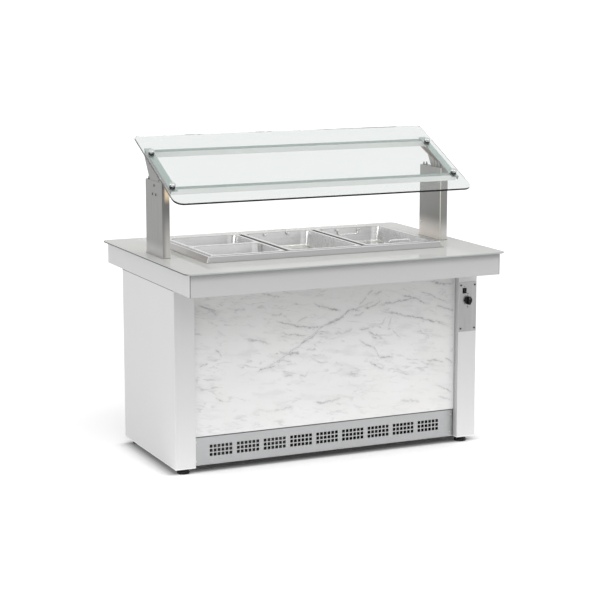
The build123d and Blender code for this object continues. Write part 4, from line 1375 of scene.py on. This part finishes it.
def add_piece(
    name: str, mesh: bmesh.types.BMesh, finish: Finish, body: str = ROOT_BODY
) -> None:
    """Make an object of a finished bmesh.

    Args:
        name: The piece's name.
        mesh: The bmesh, with its place in its vertices.
        finish: The piece's finish.
        body: The CAD body that the piece rides on.
    """
    bmesh.ops.recalc_face_normals(mesh, faces=mesh.faces)
    piece = in_scene(name, as_mesh(name, mesh))
    piece.data.materials.append(finish.material())
    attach(piece, body)
    LOG.info("made %s on %s", name, body)


def new_verts(made: dict[str, list]) -> list[bmesh.types.BMVert]:
    """Return the vertices among what an extrusion made."""
    return [thing for thing in made["geom"] if isinstance(thing, bmesh.types.BMVert)]


def front_middle(box: Sequence[Sequence[float]]) -> tuple[float, float]:
    """Return the X and Z of a box's middle."""
    lower, upper = box
    return (lower[0] + upper[0]) / 2, (lower[2] + upper[2]) / 2


def rounded(mesh: bmesh.types.BMesh, radius: float) -> None:
    """Round all the edges of a mesh that aren't flat.

    Args:
        mesh: The mesh to change.
        radius: The size of the rounding in metres.
    """
    sharp = [edge for edge in mesh.edges if edge.is_manifold and edge.calc_face_angle() > SHARP_ANGLE]
    bmesh.ops.bevel(
        mesh,
        geom=sharp,
        offset=radius,
        offset_type="OFFSET",
        affect="EDGES",
        segments=ROUND_SEGMENTS,
        profile=0.5,
        material=-1,
    )


def add_bar(mesh: bmesh.types.BMesh, lower: Sequence[float], upper: Sequence[float]) -> None:
    """Add a straight bar to a mesh.

    Args:
        mesh: The mesh to add to.
        lower: The bar's lowest corner.
        upper: The bar's highest corner.
    """
    corners = bmesh.ops.create_cube(mesh, size=1.0)["verts"]
    bmesh.ops.scale(mesh, vec=[high - low for low, high in zip(lower, upper)], verts=corners)
    bmesh.ops.translate(mesh, vec=[(low + high) / 2 for low, high in zip(lower, upper)], verts=corners)


def add_border(
    mesh: bmesh.types.BMesh, lower: Sequence[float], upper: Sequence[float], wall: float
) -> None:
    """Add a level border that runs round the inside of a box.

    Args:
        mesh: The mesh to add to.
        lower: The box's lowest corner.
        upper: The box's highest corner.
        wall: The border's width, inwards.
    """
    corners = bmesh.ops.create_grid(mesh, x_segments=1, y_segments=1, size=0.5)["verts"]
    bmesh.ops.scale(mesh, vec=(upper[0] - lower[0], upper[1] - lower[1], 1.0), verts=corners)
    middle = ((lower[0] + upper[0]) / 2, (lower[1] + upper[1]) / 2, lower[2])
    bmesh.ops.translate(mesh, vec=middle, verts=corners)
    field = corners[0].link_faces[0]
    bmesh.ops.inset_individual(mesh, faces=[field], thickness=wall)
    sides = {face for vert in corners for face in vert.link_faces}
    bmesh.ops.delete(mesh, geom=[field], context="FACES")
    bmesh.ops.recalc_face_normals(mesh, faces=list(sides))
    raised = new_verts(bmesh.ops.extrude_face_region(mesh, geom=list(sides), use_keep_orig=True))
    bmesh.ops.translate(mesh, vec=(0.0, 0.0, upper[2] - lower[2]), verts=raised)


def add_dot(mesh: bmesh.types.BMesh, centre: Sequence[float], radius: float, raised: float) -> None:
    """Add a round printed dot that faces the front.

    Args:
        mesh: The mesh to add to.
        centre: The middle of the dot's back.
        radius: The dot's radius.
        raised: The thickness of the print.
    """
    turn = Matrix.Rotation(math.radians(90), 4, "X")
    rim = bmesh.ops.create_circle(
        mesh, cap_ends=True, segments=DOT_SEGMENTS, radius=radius, matrix=turn
    )["verts"]
    bmesh.ops.translate(mesh, vec=centre, verts=rim)
    back = {face for vert in rim for face in vert.link_faces}
    front = new_verts(bmesh.ops.extrude_face_region(mesh, geom=list(back)))
    bmesh.ops.translate(mesh, vec=(0.0, -raised, 0.0), verts=front)


class Assembly:
    """A sub-assembly of the table, which is built and then dressed."""

    def build(self) -> None:
        """Make the sub-assembly's small added pieces; some have none."""

    def dress(self) -> None:
        """Give the sub-assembly's nodes their finishes."""
        raise NotImplementedError


@dataclass
class Cabinet(Assembly):
    """The casings, marble panels, grilles, floor tray and feet."""

    # A dark strip that stands for the painted shadow line under each apron.
    shadow_strip_height: float = 3.0 * MM
    shadow_strip_proud: float = 0.7 * MM
    shadow_strip_depth: float = 2.0 * MM
    shadow_strip_edge: float = 0.3 * MM

    def build(self) -> None:
        """Make the dark strip between each casing and its apron, which stands for the shadow line there."""
        for side in ("left", "right"):
            lower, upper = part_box(f"{side}_side_casing")
            face = lower[0] if side == "left" else upper[0]
            outward = math.copysign(1.0, face)
            across = sorted((face + outward * self.shadow_strip_proud, face - outward * self.shadow_strip_depth))
            mesh = bmesh.new()
            add_bar(
                mesh,
                (across[0], lower[1] + self.shadow_strip_depth, upper[2] - self.shadow_strip_height),
                (across[1], upper[1] - self.shadow_strip_depth, upper[2]),
            )
            rounded(mesh, self.shadow_strip_edge)
            add_piece(f"{side}_casing_shadow_line", mesh, SHADOW_STRIP)

    def dress(self) -> None:
        """Give the cabinet's nodes their finishes."""
        dress(CASING_PAINT, "left_side_casing", "right_side_casing")
        dress(MARBLE, "front_panel", "rear_panel")
        dress(GRILLE_STEEL, "front_grille", "rear_grille")
        dress(BOARD_FACE, "deck_board")
        dress(SHADED_ZINC, "base_tray")
        for end in ("front", "rear"):
            dress(FOOT_PLASTIC, f"foot_{end}_left", f"foot_{end}_right")


@dataclass
class Counter(Assembly):
    """The glass plate, its aprons and the frame below it."""

    def dress(self) -> None:
        """Give the counter's nodes their finishes."""
        dress(APRON_BANDED, "apron_front", "apron_rear")
        dress(APRON_LAMINATE, "apron_left", "apron_right")
        dress(PLATE_GLASS, "top_plate")
        dress(SHADED_ZINC, "top_frame")


@dataclass
class ColdWell(Assembly):
    """The steel collar and divider bars round the pans, with the tank, foam, coil and drain below."""

    collar_slope_x: float = 10.0 * MM
    collar_slope_y: float = 5.0 * MM
    lip: float = 3.4 * MM
    lip_proud: float = 0.5 * MM
    lip_edge: float = 0.8 * MM
    bead_reach: float = 3.0 * MM
    bead_width: float = 6.0 * MM
    bead_height: float = 2.2 * MM
    bead_edge: float = 0.88 * MM

    def build(self) -> None:
        """Make the collar's rolled lip and the sealant round its foot."""
        lower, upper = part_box("well_collar")
        inset_x = self.collar_slope_x - self.lip_proud
        inset_y = self.collar_slope_y - self.lip_proud
        lip = bmesh.new()
        add_border(
            lip,
            (lower[0] + inset_x, lower[1] + inset_y, upper[2] - self.lip),
            (upper[0] - inset_x, upper[1] - inset_y, upper[2]),
            self.lip,
        )
        rounded(lip, self.lip_edge)
        # The lip's near-white finish is a painted highlight.
        add_piece("collar_lip", lip, LIP_HIGHLIGHT)
        bead = bmesh.new()
        add_border(
            bead,
            (lower[0] - self.bead_reach, lower[1] - self.bead_reach, lower[2]),
            (upper[0] + self.bead_reach, upper[1] + self.bead_reach, lower[2] + self.bead_height),
            self.bead_width,
        )
        rounded(bead, self.bead_edge)
        add_piece("collar_sealant", bead, SEALANT)

    def dress(self) -> None:
        """Give the well's nodes their finishes."""
        dress(COLLAR_STEEL, "well_collar", "well_tank")
        dress(DIVIDER_STEEL, "divider_bars")
        dress(FOAM, "well_insulation")
        dress(COPPER, "evaporator_coil")
        dress(DRAIN_PLASTIC, "drain_pipe")


@dataclass
class Pans(Assembly):
    """The four food pans and their folding handles."""

    def dress(self) -> None:
        """Give the pans and handles their finishes."""
        dress(PAN_STEEL, "pan_left_front", "pan_left_rear", "pan_center", "pan_right")
        for pan in ("center", "right"):
            dress(WIRE_STEEL, f"handle_{pan}_front", f"handle_{pan}_rear")


@dataclass
class Canopy(Assembly):
    """The posts, brackets, rails, glass and lamp above the pans."""

    bead_reach: float = 2.4 * MM
    bead_width: float = 3.6 * MM
    bead_height: float = 2.0 * MM
    bead_edge: float = 0.8 * MM

    def build(self) -> None:
        """Make the sealant round the foot of each post."""
        for side in ("left", "right"):
            lower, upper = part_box(f"{side}_post")
            bead = bmesh.new()
            add_border(
                bead,
                (lower[0] - self.bead_reach, lower[1] - self.bead_reach, lower[2]),
                (upper[0] + self.bead_reach, upper[1] + self.bead_reach, lower[2] + self.bead_height),
                self.bead_width,
            )
            rounded(bead, self.bead_edge)
            add_piece(f"{side}_post_sealant", bead, SEALANT)

    def dress(self) -> None:
        """Give the canopy's nodes their finishes."""
        dress(POST_STEEL, "left_post", "right_post", "post_covers")
        dress(BRACKET_STEEL, "left_bracket", "right_bracket")
        dress(RAIL_COAT, "front_rail", "rear_rail")
        dress(CHROME, "clamp_knobs")
        dress(BOLT_STEEL, "bracket_bolts", "post_anchor_bolts", "post_top_studs")
        dress(SCREWS, "cover_screws")
        dress(RUBBER, "clamp_gaskets")
        dress(LAMP_LEADS, "lamp_wires")
        dress(ALUMINIUM, "lamp_housing")
        dress(LAMP_GLOW, "lamp_diffuser")
        dress(CANOPY_GLASS, "canopy_glass")


@dataclass
class Controls(Assembly):
    """The control plate with its switch, thermostat and cable gland."""

    print_raised: float = 0.15 * MM
    print_edge: float = 0.045 * MM
    scale_dots: int = 8
    scale_radius: float = 20.8 * MM
    scale_dot: float = 1.7 * MM
    end_radius: float = 28.5 * MM
    end_dot: float = 2.6 * MM
    switch_dot_rise: float = 17.0 * MM
    pointer_half_width: float = 0.7 * MM
    pointer_start: float = 5.0 * MM
    pointer_end: float = 15.0 * MM
    rocker_pivot_y: float = -304.0 * MM
    rocker_tilt: float = math.radians(-8.0)
    rocker_face_depth: float = 7.75 * MM
    rocker_face_middle: float = 4.0 * MM
    rocker_face_slope: float = math.radians(23.7)
    mark_size: float = 1.6 * MM
    mark_stroke: float = 0.5 * MM

    def scale(self) -> None:
        """Print the thermostat's scale dots and the switch's dot on the plate."""
        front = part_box("control_plate")[0][1]
        x, z = front_middle(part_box("thermostat_knob"))
        mesh = bmesh.new()
        for step in range(self.scale_dots):
            angle = math.tau * step / self.scale_dots
            centre = (x + self.scale_radius * math.sin(angle), front, z + self.scale_radius * math.cos(angle))
            add_dot(mesh, centre, self.scale_dot, self.print_raised)
        for side in (-1, 1):
            add_dot(mesh, (x, front, z + side * self.end_radius), self.end_dot, self.print_raised)
        x, z = front_middle(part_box("switch_housing"))
        add_dot(mesh, (x, front, z + self.switch_dot_rise), self.scale_dot, self.print_raised)
        add_piece("control_scale_print", mesh, BLACK_PRINT)

    def pointer(self) -> None:
        """Print the pointer line on the thermostat knob's grip."""
        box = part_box("thermostat_knob")
        x, z = front_middle(box)
        front = box[0][1]
        mesh = bmesh.new()
        add_bar(
            mesh,
            (x - self.pointer_half_width, front - self.print_raised, z + self.pointer_start),
            (x + self.pointer_half_width, front, z + self.pointer_end),
        )
        rounded(mesh, self.print_edge)
        add_piece("knob_pointer_print", mesh, GREY_PRINT, "thermostat_knob")

    def on_bar(self) -> bmesh.types.BMesh:
        """Make the upright bar that marks on.

        Returns:
            The bar, with the middle of its back at the origin.
        """
        half_width = self.mark_stroke / 2
        mark = bmesh.new()
        add_bar(
            mark,
            (-half_width, -self.print_raised, -self.mark_size),
            (half_width, 0.0, self.mark_size),
        )
        return mark

    def off_ring(self) -> bmesh.types.BMesh:
        """Make the ring that marks off.

        Returns:
            The ring, with the middle of its back at the origin.
        """
        mark = bmesh.new()
        add_dot(mark, (0.0, 0.0, 0.0), self.mark_size, self.print_raised)
        caps = [face for face in mark.faces if len(face.verts) == DOT_SEGMENTS]
        bmesh.ops.inset_individual(mark, faces=caps, thickness=self.mark_stroke)
        bmesh.ops.bridge_loops(mark, edges=[edge for cap in caps for edge in cap.edges])
        bmesh.ops.delete(mark, geom=caps, context="FACES_ONLY")
        return mark

    def rocker_marks(self) -> None:
        """Print the on bar and the off ring on the two slopes of the rocker."""
        x, z = front_middle(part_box("switch_housing"))
        pivot = Matrix.Translation((x, self.rocker_pivot_y, z))
        tilted = pivot @ Matrix.Rotation(self.rocker_tilt, 4, "X")
        marks = bmesh.new()
        for side, mark in ((1, self.on_bar()), (-1, self.off_ring())):
            seat = Matrix.Translation((0.0, -self.rocker_face_depth, side * self.rocker_face_middle))
            slope = Matrix.Rotation(side * self.rocker_face_slope, 4, "X")
            bmesh.ops.transform(mark, matrix=tilted @ seat @ slope, verts=mark.verts)
            scratch = as_mesh("rocker_mark", mark)
            marks.from_mesh(scratch)
            bpy.data.meshes.remove(scratch)
        add_piece("rocker_mark_print", marks, GREY_PRINT, "switch_rocker")

    def build(self) -> None:
        """Make the prints on the plate, the knob and the rocker."""
        self.scale()
        self.pointer()
        self.rocker_marks()

    def dress(self) -> None:
        """Give the controls their finishes."""
        dress(CONTROL_STEEL, "control_plate")
        dress(BLACK_PLASTIC, "switch_housing", "switch_rocker", "power_gland")
        dress(BLACK_PLASTIC, "thermostat_body", "thermostat_knob")


@dataclass
class Machine(Assembly):
    """The condensing unit on the floor tray."""

    def dress(self) -> None:
        """Give the condensing unit its finishes."""
        dress(ENAMEL, "compressor", "fan_motor")
        dress(DARK_FINS, "condenser", "fan_blade")
        dress(COPPER, "refrigerant_lines")


@dataclass
class Studio:
    """The pale floor, soft light and camera."""

    camera_place: Sequence[float] = (-3142.9 * MM, -6886.6 * MM, 1969.7 * MM)
    camera_turn: Sequence[float] = (math.radians(90 - 10.126), 0.0, math.radians(-24.536))
    lens: float = 108.64
    sensor: float = 36.0
    clip_end: float = 300.0
    floor_reach: float = 150.0
    floor_albedo: float = 0.56
    floor_mirrored_albedo: float = 1.2
    floor_seen_albedo: float = 1.3
    card_albedo: float = 1.4
    card_near: Span = (-270 * MM, -290 * MM)
    card_far: Span = (-900 * MM, -700 * MM)
    card_ends: Span = (1300 * MM, 1100 * MM)
    front_shade: float = 0.65
    front_shade_inner: Span = (200 * MM, 250 * MM)
    front_shade_outer: Span = (305 * MM, 265 * MM)
    end_shade: float = 0.6
    end_shade_inner: Span = (560 * MM, 620 * MM)
    end_shade_outer: Span = (760 * MM, 640 * MM)
    ambient: float = 0.71
    side_strength: float = 0.56
    side_turn: Sequence[float] = (math.radians(74), 0.0, math.radians(-95))
    side_spread: float = math.radians(30)
    front_strength: float = 0.6
    front_turn: Sequence[float] = (math.radians(40), 0.0, math.radians(12))
    front_spread: float = math.radians(50)

    def rays(self, graph: Graph) -> tuple[Signal, Signal]:
        """Return 1 for the rays straight from the camera, and 1 for those that a surface sends on.

        Args:
            graph: The graph to write into.

        Returns:
            The signal of the straight rays and that of the mirrored or passed ones.
        """
        path = graph.add("LightPath")
        mirrored = graph.out(path, "Is Glossy Ray")
        passed = graph.out(path, "Is Transmission Ray")
        return graph.out(path, "Is Camera Ray"), mirrored.at_least(passed)

    def card(self, graph: Graph) -> Signal:
        """Return 1 on the white reflector card that lies before the table, 0 on the rest of the floor.

        Args:
            graph: The graph to write into.

        Returns:
            The card's mask.
        """
        x, y, _ = graph.parts(graph.place())
        depth = y.ramp(*self.card_near) * y.ramp(*self.card_far)
        return abs(x).ramp(*self.card_ends) * depth

    def shade(self, graph: Graph) -> Signal:
        """Return how much the floor is darkened under the cabinet's edges, where the wide lamps leak in.

        Args:
            graph: The graph to write into.

        Returns:
            The share that is taken away, between 0 and 1.
        """
        x, y, _ = graph.parts(graph.place())
        within_front = abs(y).ramp(*self.front_shade_outer)
        within_ends = abs(x).ramp(*self.end_shade_outer)
        along_front = within_front * abs(y).ramp(*self.front_shade_inner) * within_ends
        along_ends = within_ends * abs(x).ramp(*self.end_shade_inner) * within_front
        return (along_front * self.front_shade).at_least(along_ends * self.end_shade)

    def floor_shader(self, graph: Graph) -> Signal:
        """Make the floor's nodes, which give the camera, mirrors and sent light each their own tone.

        Args:
            graph: The graph to write into.

        Returns:
            The floor's shader.
        """
        straight, sent_on = self.rays(graph)
        lit = self.floor_albedo + (self.card_albedo - self.floor_albedo) * self.card(graph)
        sent = lit + (self.floor_mirrored_albedo - lit) * sent_on
        seen = self.floor_seen_albedo * (1.0 - self.shade(graph))
        albedo = sent + (seen - sent) * straight
        colour = graph.out(graph.add("CombineColor", {}, {0: albedo, 1: albedo, 2: albedo}))
        return graph.out(graph.add("BsdfDiffuse", {}, {"Color": colour}))

    def floor(self) -> None:
        """Make the white floor, which keeps the table's shadow."""
        mesh = bmesh.new()
        bmesh.ops.create_grid(mesh, x_segments=1, y_segments=1, size=self.floor_reach)
        floor = in_scene("studio_floor", as_mesh("studio_floor", mesh))
        material = bpy.data.materials.new("studio_floor")
        material.use_nodes = True
        graph = Graph(material.node_tree)
        graph.show(self.floor_shader(graph))
        floor.data.materials.append(material)

    def world(self) -> None:
        """Make the white world, softer as a light than as a background."""
        world = bpy.data.worlds.new("studio_world")
        world.use_nodes = True
        graph = Graph(world.node_tree)
        straight, sent_on = self.rays(graph)
        strength = self.ambient + (1.0 - self.ambient) * straight.at_least(sent_on)
        light = graph.add("Background", {}, {"Color": WHITE, "Strength": strength})
        graph.add("OutputWorld", {}, {"Surface": graph.out(light)})
        bpy.context.scene.world = world

    def lamp(self, name: str, strength: float, turn: Sequence[float], spread: float) -> None:
        """Make a wide soft light that comes from far away.

        Args:
            name: The light's name.
            strength: The light's strength.
            turn: Its turns about X, Y and Z, from straight down.
            spread: The angle that it fills.
        """
        data = bpy.data.lights.new(name, "SUN")
        data.energy = strength
        data.angle = spread
        in_scene(name, data).rotation_euler = turn

    def camera(self) -> None:
        """Make the camera at the photograph's place."""
        data = bpy.data.cameras.new("studio_camera")
        data.sensor_width = self.sensor
        data.lens = self.lens
        data.clip_end = self.clip_end
        camera = in_scene("studio_camera", data)
        camera.location = self.camera_place
        camera.rotation_euler = self.camera_turn
        bpy.context.scene.camera = camera

    def build(self) -> None:
        """Make the whole studio."""
        bpy.context.scene.view_settings.view_transform = "Standard"
        self.camera()
        self.floor()
        self.world()
        self.lamp("side_light", self.side_strength, self.side_turn, self.side_spread)
        self.lamp("front_light", self.front_strength, self.front_turn, self.front_spread)


def clear_scene() -> None:
    """Remove the objects that a new file starts with."""
    for thing in list(bpy.data.objects):
        bpy.data.objects.remove(thing)


def main() -> None:
    """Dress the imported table, add its small pieces and set up the studio."""
    logging.basicConfig(level=logging.INFO, format="%(name)s: %(message)s")
    clear_scene()
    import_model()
    Studio().build()
    for assembly in (Cabinet(), Counter(), ColdWell(), Pans(), Canopy(), Controls(), Machine()):
        assembly.build()
        assembly.dress()


if __name__ == "__main__":
    main()
